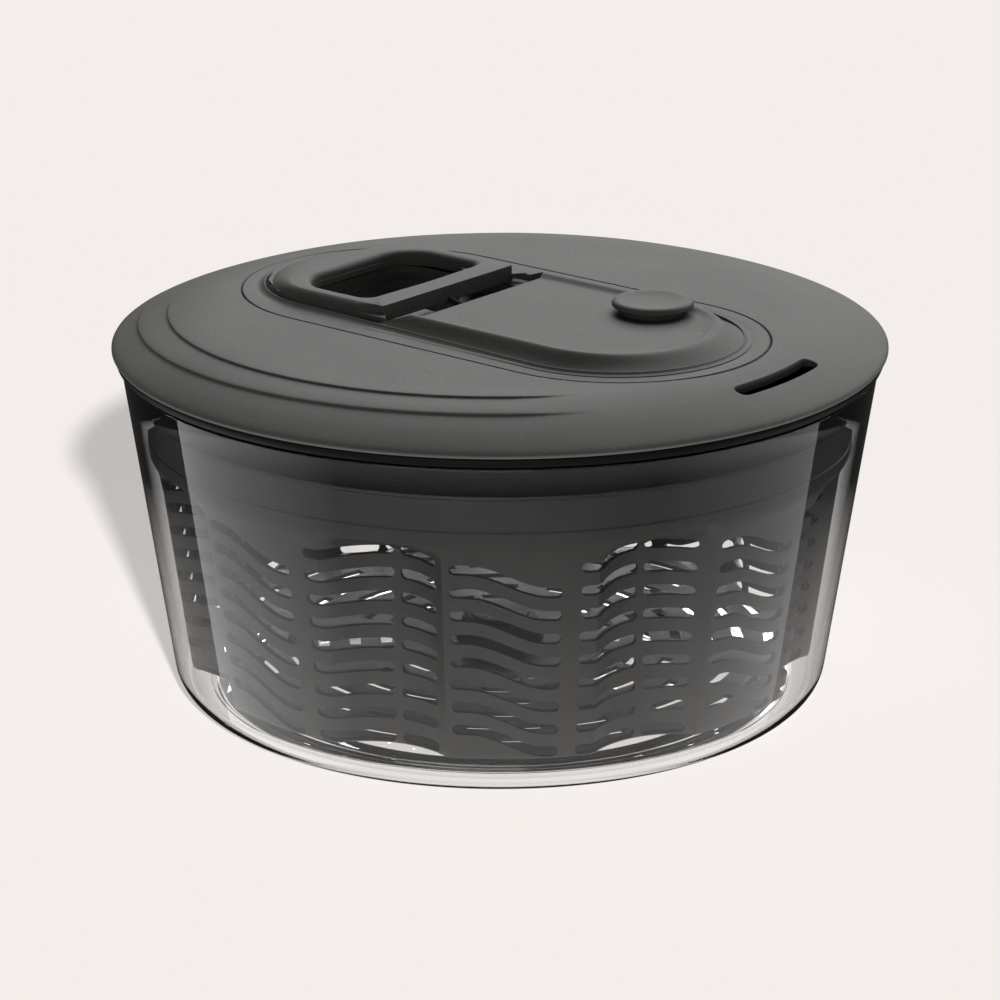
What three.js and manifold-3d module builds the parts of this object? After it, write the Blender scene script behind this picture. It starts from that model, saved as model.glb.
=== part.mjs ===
// A pull-cord salad spinner: clear bowl, slotted basket, and a lid that holds the cord drive and the brake.
// Millimetres, +Z up. The origin is the centre of the bowl's foot, on the table.
// +X runs along the lid's oblong deck, from the pull handle towards the brake button.
import * as THREE from 'three';
import { mergeVertices } from 'three/addons/utils/BufferGeometryUtils.js';
import Module from 'manifold-3d';

const wasm = await Module();
wasm.setup();

// ---- driving dimensions ----
const CLEARANCE = 0.3;            // gap kept between touching pieces
const ROUND = 40;                 // facets round the large pieces
const ROUND_MID = 24;             // facets round the drive's pieces
const ROUND_SMALL = 12;           // facets round the small ones
const WORLD = 200;                // half-size of the blocks that trim a solid
const ARC_STEPS = 8;              // curve divisions on the deck's and housing's round ends

// bowl
const BOWL_FOOT_R = 112.8;        // where the sloping wall would meet the table
const BOWL_SLOPE = 0.142;         // radius gained per millimetre of height
const BOWL_WALL = 2.6;
const BOWL_H = 118.2;
const BOWL_CORNER = 10.8;
const PIVOT_TIP_Z = 20;

// lid
const LID_R = 132.5;
const LID_TOP_Z = 131.7;
const LID_EDGE_Z = 122.9;
const LID_SKIN = 2;
const LIP_R = 131.3;
const SKIRT_BOTTOM_Z = 107.3;
const COVER_Z = 113;              // underside of the lid's inner cover
const COVER_T = 2;
const DRAIN_R0 = 112;             // drain slot's inner and outer radius
const DRAIN_R1 = 117.6;
const DRAIN_TURN = 2.5;           // degrees from the deck's axis to the slot's middle
const CUP_R = 37.5;               // the cover's central cup, round the drive
const CUP_FLOOR_Z = 104.5;

// oblong deck let into the lid
const DECK_HALF = 50;             // half the straight length
const DECK_R = 52;
const DECK_GAP = 0.3;

// drive housing moulded on the deck
const HOUSING_X = -9;
const HOUSING_R = 42.5;
const HOUSING_TOP_R = 35;
const HOUSING_TOP_Z = 136.5;
const HOUSING_WALL = 3;
const DISH_Z = 135.3;

// finger well under the handle
const WELL_X0 = -71;
const WELL_X1 = HOUSING_X;
const WELL_HALF_Y = 31;
const WELL_STEP_X = -36;
const WELL_DEEP_Z = 117.2;
const TRENCH_Z = 125.9;
const WELL_T = 1.6;
const SCREW_REACH = 88;           // lid screws, from the axis
const SCREW_HOLE_R = 1.8;

// pull handle
const HANDLE_CX = -56.5;
const HANDLE_R = 38.3;
const HANDLE_X1 = -22.5;
const HANDLE_Z0 = 132.1;
const HANDLE_SPLIT_Z = 134;
const HANDLE_Z1 = 136.9;
const HOLE_X0 = -67.5;
const HOLE_X1 = -33.5;
const HOLE_HALF_Y = 29.5;
const PULL_TILT = THREE.MathUtils.degToRad(12);

// cord
const CORD_R = 1;
const EYELET_Z = 129;
const ANCHOR_X = -28;
const ROLLER_X = 43;
const ROLLER_R = 5.75;            // to the cord's centre line
const REEL_MID_Z = EYELET_Z - 2 * ROLLER_R;
const ROLLER_Z = EYELET_Z - ROLLER_R;

// reel and clutch
const SPINDLE_R = 3;
const REEL_FLANGE_R = 29;
const REEL_DRUM_R = 20;
const REEL_DRUM_IN = 18.5;
const WINDING_R = 25;
const FLANGE_T = 1.2;
const REEL_Z0 = REEL_MID_Z - 3.5;
const REEL_Z1 = REEL_MID_Z + 3.5;
const SPRING_Z0 = REEL_Z0 + FLANGE_T + 0.4;
const SPRING_Z1 = REEL_Z1 - FLANGE_T - 0.4;
const REEL_HOUSING_R = 33;

// drive disc and basket
const DISC_R = 115;
const DISC_Z = 105;
const DISC_T = 2;
const LUGS = 6;
const BASKET_RIM_Z = 106.5;
const BASKET_RIM_R = 121.5;
const BASKET_WALL = 1.8;
const BASKET_SLOPE = 0.128;
const BASKET_NECK_R = 117.7;      // outer radius where the bays start
const BASKET_NECK_Z = 81;
const BASKET_BOTTOM_Z = 12;
const LOBES = 8;
const BAY_DEPTH_TOP = 13;
const BAY_DEPTH_BOTTOM = 8;
const BAY_HALF = THREE.MathUtils.degToRad(9.5);
const BAY_PHASE = THREE.MathUtils.degToRad(-69.4);
const BASKET_ROUND = 48;          // six facets to each of the eight lobes
const BASKET_FLOOR_R = 60;        // inside this radius the floor is flat
const WINDOW_ROWS = 3;            // drain windows in the wall
const WINDOW_Z = 25;
const WINDOW_PITCH = 21;
const WINDOW_H = 6;
const WINDOW_HALF = 12;
const BAY_WINDOW_HALF = 6;
const TOOTH_OFFSET = 4.5;         // degrees between a tooth and the lug that drives it

// brake
const BUTTON_X = 48;
const BUTTON_Y = 23;
const BUTTON_R = 13.9;
const BUTTON_TOP_Z = 139.6;
const CAP_UNDER_Z = 137.7;        // leaves room for 2 mm of travel above the dish
const BUTTON_SKIRT_R = 11.5;
const BUTTON_BORE_R = 12;
const BORE_FLOOR_Z = 124;
const STEM_R = 4;
const PAD_R = 7;

// ---- shape helpers ----
function toManifold(geometry) {
  const bare = geometry.clone();
  bare.deleteAttribute('normal');
  bare.deleteAttribute('uv');
  const merged = mergeVertices(bare, 1e-4);
  return new wasm.Manifold(new wasm.Mesh({
    numProp: 3,
    vertProperties: new Float32Array(merged.attributes.position.array),
    triVerts: new Uint32Array(merged.index.array),
  }));
}

function toGeometry(solid) {
  const mesh = solid.getMesh();
  const geometry = new THREE.BufferGeometry();
  geometry.setAttribute('position', new THREE.BufferAttribute(new Float32Array(mesh.vertProperties), 3));
  geometry.setIndex(new THREE.BufferAttribute(new Uint32Array(mesh.triVerts), 1));
  geometry.computeVertexNormals();
  return geometry;
}

// A solid of revolution about Z from [radius, z] points, in order up the outside and down the inside.
function turned(points, facets = ROUND_SMALL) {
  const profile = points.map(([r, z]) => new THREE.Vector2(r, z));
  const start = profile[0];
  const end = profile[profile.length - 1];
  if (start.x > 0 || end.x > 0) profile.push(start.clone());
  const geometry = new THREE.LatheGeometry(profile, facets);
  geometry.rotateX(Math.PI / 2);
  const solid = toManifold(geometry);
  if (solid.volume() > 0) return solid;
  const flipped = new THREE.LatheGeometry(profile.reverse(), facets);
  flipped.rotateX(Math.PI / 2);
  return toManifold(flipped);
}

const disc = (r, z0, z1, facets) => turned([[0, z0], [r, z0], [r, z1], [0, z1]], facets);
const ring = (rOut, rIn, z0, z1, facets) => turned([[rOut, z0], [rOut, z1], [rIn, z1], [rIn, z0]], facets);

function block(x0, x1, y0, y1, z0, z1) {
  const geometry = new THREE.BoxGeometry(x1 - x0, y1 - y0, z1 - z0);
  geometry.translate((x0 + x1) / 2, (y0 + y1) / 2, (z0 + z1) / 2);
  return toManifold(geometry);
}

function extruded(shape, z0, z1, segments = 4) {
  const depth = z1 - z0;
  const geometry = new THREE.ExtrudeGeometry(shape, { depth, bevelEnabled: false, curveSegments: segments });
  geometry.translate(0, 0, z0);
  return toManifold(geometry);
}

// An extrusion whose upper edge is chamfered inwards by `inset` over `drop`.
function chamfered(shape, z0, z1, inset, drop, segments = 9) {
  const geometry = new THREE.ExtrudeGeometry(shape, {
    depth: z1 - z0, bevelEnabled: true, bevelThickness: drop, bevelSize: inset,
    bevelOffset: -inset, bevelSegments: 1, curveSegments: segments,
  });
  geometry.translate(0, 0, z0 - drop);
  return toManifold(geometry).subtract(block(-WORLD, WORLD, -WORLD, WORLD, z0 - 50, z0));
}

function tube(points, r, steps, facets = 8) {
  const curve = new THREE.CatmullRomCurve3(points.map((p) => new THREE.Vector3(...p)), false, 'centripetal');
  const section = new THREE.Shape();
  section.absarc(0, 0, r, 0, 2 * Math.PI);
  const geometry = new THREE.ExtrudeGeometry(section, {
    steps, extrudePath: curve, bevelEnabled: false, curveSegments: facets / 2,
  });
  return toManifold(geometry);
}

// An oblong with round ends: half straight length, radius, and optional flat cut at x0.
function oblong(half, r, x0 = null) {
  const shape = new THREE.Shape();
  if (x0 === null) shape.absarc(-half, 0, r, Math.PI / 2, 1.5 * Math.PI);
  else {
    shape.moveTo(x0, r);
    shape.lineTo(x0, -r);
  }
  shape.absarc(half, 0, r, -Math.PI / 2, Math.PI / 2);
  shape.closePath();
  return shape;
}

function roundedRect(x0, x1, halfY, corner) {
  const shape = new THREE.Shape();
  shape.absarc(x1 - corner, halfY - corner, corner, 0, Math.PI / 2);
  shape.absarc(x0 + corner, halfY - corner, corner, Math.PI / 2, Math.PI);
  shape.absarc(x0 + corner, -halfY + corner, corner, Math.PI, 1.5 * Math.PI);
  shape.absarc(x1 - corner, -halfY + corner, corner, 1.5 * Math.PI, 2 * Math.PI);
  shape.closePath();
  return shape;
}

const group = new THREE.Group();

function add(name, solid, colour, roughness = 0.6, metalness = 0) {
  const material = new THREE.MeshStandardMaterial({ color: colour, roughness, metalness });
  const mesh = new THREE.Mesh(solid instanceof THREE.BufferGeometry ? solid : toGeometry(solid), material);
  mesh.name = name;
  group.add(mesh);
  return mesh;
}

const GREY = 0x5b5b59;
const DARK = 0x2c2c2c;
const STEEL = 0xb8bcc0;
const CLEAR = 0xe8eef0;
const NATURAL = 0xd8d6cf;

// ---- bowl ----
function bowl() {
  const wallR = (z) => BOWL_FOOT_R + BOWL_SLOPE * z;
  const corner = (inset, floorZ, radius) => {
    const points = [];
    for (let i = 0; i <= 4; i += 1) {
      const angle = -Math.PI / 2 + (i / 4) * (Math.PI / 2 - 0.14);
      const centreR = wallR(radius + floorZ) - inset - radius;
      points.push([centreR + radius * Math.cos(angle), floorZ + radius + radius * Math.sin(angle)]);
    }
    return points;
  };
  const outside = corner(0, 0, BOWL_CORNER);
  const inside = corner(BOWL_WALL, 3, BOWL_CORNER - BOWL_WALL).reverse();
  return turned([
    [0, 0], ...outside, [wallR(BOWL_H), BOWL_H], [wallR(BOWL_H) - BOWL_WALL, BOWL_H],
    ...inside, [9, 3], [5, PIVOT_TIP_Z - 5], [2, PIVOT_TIP_Z], [0, PIVOT_TIP_Z],
  ], ROUND);
}

// ---- basket ----
function basketR(z) {
  return BASKET_NECK_R - (BASKET_NECK_Z - z) * BASKET_SLOPE;
}

// Bays are pressed into the wall by moving the profile's points inwards, round by round.
function baySink(angle, z) {
  const period = (2 * Math.PI) / LOBES;
  const turn = angle - BAY_PHASE;
  const local = turn - period * Math.round(turn / period);
  if (Math.abs(local) > BAY_HALF) return 0;
  const around = Math.cos((local / BAY_HALF) * (Math.PI / 2)) ** 2;
  const down = THREE.MathUtils.clamp((BASKET_NECK_Z + 6 - z) / 6, 0, 1);
  const run = THREE.MathUtils.clamp((BASKET_NECK_Z - z) / (BASKET_NECK_Z - BASKET_BOTTOM_Z), 0, 1);
  return around * down * THREE.MathUtils.lerp(BAY_DEPTH_TOP, BAY_DEPTH_BOTTOM, run);
}

function basketShell() {
  const heights = [BASKET_BOTTOM_Z + 4, BASKET_NECK_Z, BASKET_NECK_Z + 6];
  const outside = heights.map((z) => [basketR(z), z]);
  const inside = heights.map((z) => [basketR(z) - BASKET_WALL, z]).reverse();
  const profile = [
    [0, BASKET_BOTTOM_Z + 12], [10, BASKET_BOTTOM_Z + 10], [14, BASKET_BOTTOM_Z],
    [basketR(BASKET_BOTTOM_Z) - 3, BASKET_BOTTOM_Z], ...outside, [BASKET_RIM_R - 1, 94],
    [BASKET_RIM_R, BASKET_RIM_Z], [BASKET_RIM_R - 2.8, BASKET_RIM_Z],
    [BASKET_RIM_R - 3, 94], ...inside, [basketR(BASKET_BOTTOM_Z) - 6, BASKET_BOTTOM_Z + 2],
    [15.5, BASKET_BOTTOM_Z + 2], [11.5, BASKET_BOTTOM_Z + 12], [0, BASKET_BOTTOM_Z + 14],
  ].map(([r, z]) => new THREE.Vector2(r, z));
  const geometry = new THREE.LatheGeometry(profile, BASKET_ROUND);
  geometry.rotateX(Math.PI / 2);
  geometry.rotateZ(BAY_PHASE);
  const position = geometry.attributes.position;
  for (let i = 0; i < position.count; i += 1) {
    const x = position.getX(i);
    const y = position.getY(i);
    const r = Math.hypot(x, y);
    if (r < BASKET_FLOOR_R) continue;
    const scale = (r - baySink(Math.atan2(y, x), position.getZ(i))) / r;
    position.setXY(i, x * scale, y * scale);
  }
  return toManifold(geometry);
}

// The slots are windows through the wall, in rows: one column in each bay and a wider one between two bays.
function basket() {
  let solid = basketShell();
  const lobeTurn = 360 / LOBES;
  for (let column = 0; column < 2 * LOBES; column += 1) {
    const half = column % 2 ? WINDOW_HALF : BAY_WINDOW_HALF;
    const turn = THREE.MathUtils.radToDeg(BAY_PHASE) + (column * lobeTurn) / 2;
    for (let row = 0; row < WINDOW_ROWS; row += 1) {
      const z = WINDOW_Z + row * WINDOW_PITCH;
      const window = block(85, 130, -half, half, z - WINDOW_H / 2, z + WINDOW_H / 2);
      solid = solid.subtract(window.rotate([0, 0, turn]));
    }
  }
  for (let i = 0; i < LOBES; i += 1) {
    const drain = block(38, 84, -4, 4, BASKET_BOTTOM_Z - 2, BASKET_BOTTOM_Z + 4);
    solid = solid.subtract(drain.rotate([0, 0, lobeTurn * i]));
  }
  for (let i = 0; i < LUGS; i += 1) {
    const tooth = block(113.4, BASKET_RIM_R - 1.9, -2, 2, 97.5, 103);
    solid = solid.add(tooth.rotate([0, 0, (360 / LUGS) * i + TOOTH_OFFSET]));
  }
  return solid;
}

// ---- lid ----
function lidShell() {
  const solid = turned([
    [0, LID_TOP_Z], [100, LID_TOP_Z], [112, 130], [124, 126.7], [129.9, 124.5], [LID_R, LID_EDGE_Z],
    [LID_R - 0.4, 121.7], [127, 121.7], [124, 124.4], [111, 127.8], [99, LID_TOP_Z - LID_SKIN],
    [0, LID_TOP_Z - LID_SKIN],
  ], ROUND);
  const opening = extruded(oblong(DECK_HALF, DECK_R), 100, 150, ARC_STEPS);
  return solid.subtract(opening).subtract(drainSlot()).add(screwBoss(1)).add(screwBoss(3));
}

function innerCover() {
  const solid = turned([
    [0, CUP_FLOOR_Z], [CUP_R, CUP_FLOOR_Z], [CUP_R, COVER_Z], [122.6, COVER_Z], [122.9, SKIRT_BOTTOM_Z],
    [124.7, SKIRT_BOTTOM_Z], [126.2, 118.6], [LIP_R - 0.4, 118.6], [LIP_R, 119], [LIP_R, 121.3], [122.9, 121.3],
    [122.9, COVER_Z + COVER_T], [CUP_R - COVER_T, COVER_Z + COVER_T], [CUP_R - COVER_T, CUP_FLOOR_Z + COVER_T],
    [0, CUP_FLOOR_Z + COVER_T],
  ], ROUND);
  const hubHole = disc(7.8, 90, 120);
  const stemHole = disc(STEM_R + 0.8, 90, 130).translate([BUTTON_X, BUTTON_Y, 0]);
  let cover = solid.subtract(hubHole).subtract(stemHole).subtract(drainSlot());
  for (const post of screwPosts) cover = cover.subtract(disc(SCREW_HOLE_R, 90, 130).translate(post));
  for (const y of [-6.6, 6.6]) {
    cover = cover.add(block(ROLLER_X - 3.5, ROLLER_X + 3.5, y - 0.8, y + 0.8, COVER_Z + 1, ROLLER_Z + 3));
  }
  return cover.subtract(rollerBore());
}

const screwPosts = [
  [SCREW_REACH, 0, 0], [0, SCREW_REACH, 0], [-SCREW_REACH, 0, 0], [0, -SCREW_REACH, 0],
];
const acrossY = (solid) => solid.rotate([90, 0, 0]);
const rollerBore = () => acrossY(disc(1.5, -9, 9)).translate([ROLLER_X, 0, ROLLER_Z]);
const pullLine = (x) => EYELET_Z + (HOUSING_X - x) * Math.tan(PULL_TILT);
const eyeletPlace = [HOUSING_X - 0.8, 0, pullLine(HOUSING_X - 0.8)];

// Turns a solid made along Z so that it lies along the cord's pull line.
function alongPull(solid) {
  return solid.rotate([0, -90 + THREE.MathUtils.radToDeg(PULL_TILT), 0]);
}

function screwBoss(index) {
  const post = ring(3.8, SCREW_HOLE_R, COVER_Z + COVER_T + CLEARANCE, LID_TOP_Z - 1);
  return post.translate(screwPosts[index]);
}

// The slot by which water is poured off, through the lid's skin or its inner cover.
function drainSlot() {
  const sector = block(100, 130, -22, 22, 100, 150).rotate([0, 0, DRAIN_TURN]);
  return ring(DRAIN_R1, DRAIN_R0, 100, 150, ROUND).intersect(sector);
}

// The raised housing over the reel; its sides are a long chamfer.
function housingBlock(inset, x0, z0, z1) {
  return chamfered(oblong(DECK_HALF, HOUSING_R - inset, x0), z0, z1, HOUSING_R - HOUSING_TOP_R, 4.8, ARC_STEPS);
}

function wellBlock(x0, x1, inset, corner, z0, z1) {
  return extruded(roundedRect(x0 + inset, x1 - inset, WELL_HALF_Y - inset, corner), z0, z1, 2);
}

// The finger well and the shallow trench that the cord crosses, as an outer skin and as a hollow.
function wellSkin() {
  const trench = wellBlock(WELL_STEP_X, WELL_X1 + WELL_T, 0, 6, TRENCH_Z - WELL_T, LID_TOP_Z);
  const deep = wellBlock(WELL_X0, WELL_STEP_X + 8, 0, 12, WELL_DEEP_Z - WELL_T, LID_TOP_Z)
    .subtract(block(WELL_STEP_X, WORLD, -WORLD, WORLD, 0, TRENCH_Z - WELL_T));
  return trench.add(deep);
}

function wellHollow() {
  const trench = wellBlock(WELL_X0, WELL_X1 + WELL_T, WELL_T, 4, TRENCH_Z, 150);
  return wellBlock(WELL_X0, WELL_STEP_X, WELL_T, 10, WELL_DEEP_Z, 150).add(trench);
}

function deck() {
  const bore = [BUTTON_X, BUTTON_Y, 0];
  const plate = extruded(oblong(DECK_HALF, DECK_R - DECK_GAP), LID_TOP_Z - LID_SKIN, LID_TOP_Z, ARC_STEPS);
  const hollow = housingBlock(HOUSING_WALL, HOUSING_X, LID_TOP_Z - 12, HOUSING_TOP_Z - 2.6);
  const dish = extruded(oblong(DECK_HALF, HOUSING_TOP_R - 1, HOUSING_X - 3), DISH_Z, 150, ARC_STEPS);
  const boreWall = disc(BUTTON_BORE_R + 1.4, BORE_FLOOR_Z - 1.4, DISH_Z - 0.5, ROUND_MID).translate(bore);
  const boreHole = disc(BUTTON_BORE_R, BORE_FLOOR_Z, 150, ROUND_MID).translate(bore);
  const capRoom = disc(BUTTON_R + 0.5, DISH_Z - 0.1, 150, ROUND_MID).translate(bore);
  const stemHole = disc(STEM_R + 0.5, 90, 150).translate(bore);
  const eyeletHole = alongPull(disc(2.3, -8, 8)).translate(eyeletPlace);
  return plate
    .add(housingBlock(0, WELL_X1 - WELL_T, LID_TOP_Z - 1, HOUSING_TOP_Z))
    .add(wellSkin())
    .subtract(hollow)
    .subtract(dish)
    .add(boreWall)
    .subtract(boreHole)
    .subtract(capRoom)
    .subtract(stemHole)
    .add(screwBoss(0))
    .add(screwBoss(2))
    .subtract(wellHollow().subtract(block(WELL_X1 - WELL_T, WORLD, -WORLD, WORLD, 0, WORLD)))
    .subtract(eyeletHole);
}

// ---- cord drive ----
function reel() {
  const solid = turned([
    [SPINDLE_R + CLEARANCE, REEL_Z0], [REEL_FLANGE_R, REEL_Z0], [REEL_FLANGE_R, REEL_Z0 + FLANGE_T],
    [REEL_DRUM_R, REEL_Z0 + FLANGE_T], [REEL_DRUM_R, REEL_Z1 - FLANGE_T], [REEL_FLANGE_R, REEL_Z1 - FLANGE_T],
    [REEL_FLANGE_R, REEL_Z1], [REEL_DRUM_IN, REEL_Z1], [REEL_DRUM_IN, REEL_Z0 + FLANGE_T],
    [SPINDLE_R + CLEARANCE, REEL_Z0 + FLANGE_T],
  ], ROUND_MID);
  return solid;
}

function winding() {
  const z0 = REEL_Z0 + FLANGE_T + CLEARANCE;
  const z1 = REEL_Z1 - FLANGE_T - CLEARANCE;
  return ring(WINDING_R, REEL_DRUM_R + CLEARANCE, z0, z1, ROUND_MID);
}

function recoilSpring() {
  const turns = 4;
  const perTurn = 18;
  const inner = 6;
  const outer = 17.6;
  const strip = 0.5;
  const shape = new THREE.Shape();
  const at = (i, offset) => {
    const t = i / (turns * perTurn);
    const r = inner + (outer - inner) * t + offset;
    const angle = t * turns * 2 * Math.PI;
    return [r * Math.cos(angle), r * Math.sin(angle)];
  };
  shape.moveTo(...at(0, 0));
  for (let i = 1; i <= turns * perTurn; i += 1) shape.lineTo(...at(i, 0));
  for (let i = turns * perTurn; i >= 0; i -= 1) shape.lineTo(...at(i, -strip));
  shape.closePath();
  return extruded(shape, SPRING_Z0, SPRING_Z1, 1);
}

// One-way clutch: a moulded ring with three springy arms inside the hub's ratchet cup.
function clutchRing() {
  let solid = ring(8, SPINDLE_R + CLEARANCE, 110.6, REEL_Z0 - CLEARANCE);
  for (let i = 0; i < 3; i += 1) {
    const arm = new THREE.Shape();
    arm.moveTo(6, -2);
    arm.quadraticCurveTo(12, -5, 13.4, 1.5);
    arm.lineTo(14.3, 4.2);
    arm.lineTo(12.6, 4.6);
    arm.quadraticCurveTo(10.5, -2, 6, 1);
    arm.closePath();
    solid = solid.add(extruded(arm, 110.8, REEL_Z0 - 0.5, 4).rotate([0, 0, 120 * i]));
  }
  return solid;
}

function driveHub() {
  const cup = turned([
    [SPINDLE_R + CLEARANCE, 98], [5.5, 98], [5.5, 107.9], [18.5, 107.9], [18.5, REEL_Z0 - CLEARANCE],
    [16.2, REEL_Z0 - CLEARANCE], [16.2, 110.2], [SPINDLE_R + CLEARANCE, 110.2],
  ], ROUND_MID);
  let teeth = null;
  for (let i = 0; i < 18; i += 1) {
    const tooth = new THREE.Shape();
    tooth.moveTo(16.8, -1.4);
    tooth.lineTo(15, 0.9);
    tooth.lineTo(16.8, 1.1);
    tooth.closePath();
    const one = extruded(tooth, 110, REEL_Z0 - CLEARANCE, 1).rotate([0, 0, 20 * i]);
    teeth = teeth ? teeth.add(one) : one;
  }
  return cup.add(teeth);
}

function driveDisc() {
  let solid = turned([
    [5.8, 98.4], [38, 98.4], [47, DISC_Z], [DISC_R, DISC_Z], [DISC_R, DISC_Z + DISC_T], [46, DISC_Z + DISC_T],
    [37, 98.4 + DISC_T], [5.8, 98.4 + DISC_T],
  ], ROUND);
  for (let i = 0; i < LUGS; i += 1) {
    const lug = block(109, 116.6, -2.2, 2.2, 98.5, DISC_Z + 1);
    solid = solid.add(lug.rotate([0, 0, (360 / LUGS) * i]));
  }
  return solid;
}

function reelHousing() {
  const footZ = CUP_FLOOR_Z + COVER_T + CLEARANCE;
  const innerR = REEL_HOUSING_R - 1.7;
  const cup = turned([
    [SPINDLE_R + CLEARANCE, 122.2], [innerR, 122.2], [innerR, footZ],
    [REEL_HOUSING_R, footZ], [REEL_HOUSING_R, 124], [SPINDLE_R + CLEARANCE, 124],
  ], ROUND_MID);
  return cup.subtract(block(10, 50, -24, 10, REEL_Z0, REEL_Z1));
}

function cordRun() {
  const reach = ROLLER_X;
  const touch = WINDING_R + CLEARANCE + CORD_R;
  const cos = touch / reach;
  const end = [touch * cos, -touch * Math.sqrt(1 - cos * cos), REEL_MID_Z];
  const half = (angle) => [
    ROLLER_X + ROLLER_R * Math.cos(angle), 0, ROLLER_Z + ROLLER_R * Math.sin(angle),
  ];
  return tube([
    [HOUSING_X - 0.4, 0, pullLine(HOUSING_X - 0.4)], [HOUSING_X + 1.6, 0, pullLine(HOUSING_X + 1.6)],
    [0, 0, EYELET_Z - 0.5], [20, 0, EYELET_Z], [ROLLER_X - 6, 0, EYELET_Z],
    half(Math.PI / 2), half(Math.PI / 4), half(0), half(-Math.PI / 4), half(-Math.PI / 2),
    [ROLLER_X - 5, -3.4, REEL_MID_Z], end,
  ], CORD_R, 30);
}

function buttonSpring() {
  const turns = 4;
  const z0 = BORE_FLOOR_Z + 0.8;
  const z1 = 130.2;
  const points = [];
  for (let i = 0; i <= turns * 10; i += 1) {
    const angle = (i / 10) * 2 * Math.PI;
    points.push([
      BUTTON_X + 8 * Math.cos(angle), BUTTON_Y + 8 * Math.sin(angle), z0 + ((z1 - z0) * i) / (turns * 10),
    ]);
  }
  return tube(points, 0.45, turns * 14, 4);
}

// ---- pull handle ----
function handlePlan(inset) {
  const shape = new THREE.Shape();
  const r = HANDLE_R - inset;
  shape.absarc(HANDLE_CX, 0, r, Math.PI / 2, 1.5 * Math.PI);
  shape.lineTo(HANDLE_X1 + 4 - inset, -r);
  shape.lineTo(HANDLE_X1 - inset, -r + 5);
  shape.lineTo(HANDLE_X1 - inset, r - 5);
  shape.lineTo(HANDLE_X1 + 4 - inset, r);
  shape.closePath();
  return shape;
}

const handleScrewPlaces = [-1, 1].map((side) => [HANDLE_CX, side * 33.8, 0]);
const handleHole = () => extruded(roundedRect(HOLE_X0, HOLE_X1, HOLE_HALF_Y, 13), 100, 160);
const anchorPocket = () => alongPull(disc(2.6, -3.4, 3.4)).translate([ANCHOR_X, 0, pullLine(ANCHOR_X)]);
const anchorBore = () => alongPull(disc(1.6, -14, 0)).translate([ANCHOR_X, 0, pullLine(ANCHOR_X)]);

function handleTop() {
  const body = chamfered(handlePlan(0), HANDLE_SPLIT_Z + 0.3, HANDLE_Z1, 2, 2);
  let solid = body.subtract(handleHole()).subtract(anchorPocket()).subtract(anchorBore());
  for (const place of handleScrewPlaces) solid = solid.subtract(disc(1.6, 120, 136).translate(place));
  return solid;
}

function handleBase() {
  const body = extruded(handlePlan(0.6), HANDLE_Z0, HANDLE_SPLIT_Z);
  const boss = block(HOLE_X1 + 0.4, HANDLE_X1 - 0.8, -6, 6, 128.6, HANDLE_SPLIT_Z);
  let solid = body.subtract(handleHole()).add(boss).subtract(anchorPocket()).subtract(anchorBore());
  for (const place of handleScrewPlaces) {
    solid = solid.subtract(disc(1.6, 120, 140).translate(place)).subtract(disc(3, 120, 133.4).translate(place));
  }
  return solid;
}

// ---- assembly ----
add('bowl', bowl(), CLEAR, 0.05);
add('basket', basket(), GREY);

add('lid_shell', lidShell(), GREY);
add('lid_inner_cover', innerCover(), DARK);
add('deck_cover', deck(), GREY);
add('reel_housing', reelHousing(), DARK);
add('spindle', disc(SPINDLE_R, 97, 126.2), STEEL, 0.3, 1);
add('hub_bush', ring(7.5, 5.8, 103, 108.2 - 0.6), NATURAL);
add('spring_arbor', ring(5.2, SPINDLE_R + CLEARANCE, SPRING_Z0, SPRING_Z1), STEEL, 0.4, 1);
add('recoil_spring', recoilSpring(), STEEL, 0.3, 1);

add('cord_reel', reel(), NATURAL);
const springCover = ring(REEL_DRUM_IN - CLEARANCE, SPINDLE_R + CLEARANCE, REEL_Z1 - 1.1, REEL_Z1 - 0.2);
add('reel_spring_cover', springCover, NATURAL);
add('cord_winding', winding(), NATURAL);
add('clutch_ring', clutchRing(), DARK);

add('drive_hub', driveHub(), NATURAL);
add('drive_disc', driveDisc(), DARK);
add('hub_nut', turned([[SPINDLE_R + 0.4, 95.4], [9, 95.4], [9, 97.7], [SPINDLE_R + 0.4, 97.7]]), DARK);

add('cord_run', cordRun(), NATURAL);
add('guide_roller', acrossY(turned([
  [1.8, -5.4], [6.6, -5.4], [6.6, -4.6], [4.5, -2.2], [4.5, 2.2], [6.6, 4.6], [6.6, 5.4], [1.8, 5.4],
])).translate([ROLLER_X, 0, ROLLER_Z]), NATURAL);
add('roller_pin', acrossY(disc(1.2, -8.2, 8.2, 12)).translate([ROLLER_X, 0, ROLLER_Z]), STEEL, 0.3, 1);

screwPosts.forEach(([x, y], i) => {
  const screw = turned([[0, 110.2], [3.4, 110.2], [3.4, 112.6], [1.4, 112.6], [1.4, 126.6], [0, 126.6]]);
  add(`cover_screw_${i + 1}`, screw.translate([x, y, 0]), STEEL, 0.35, 1);
});

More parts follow.
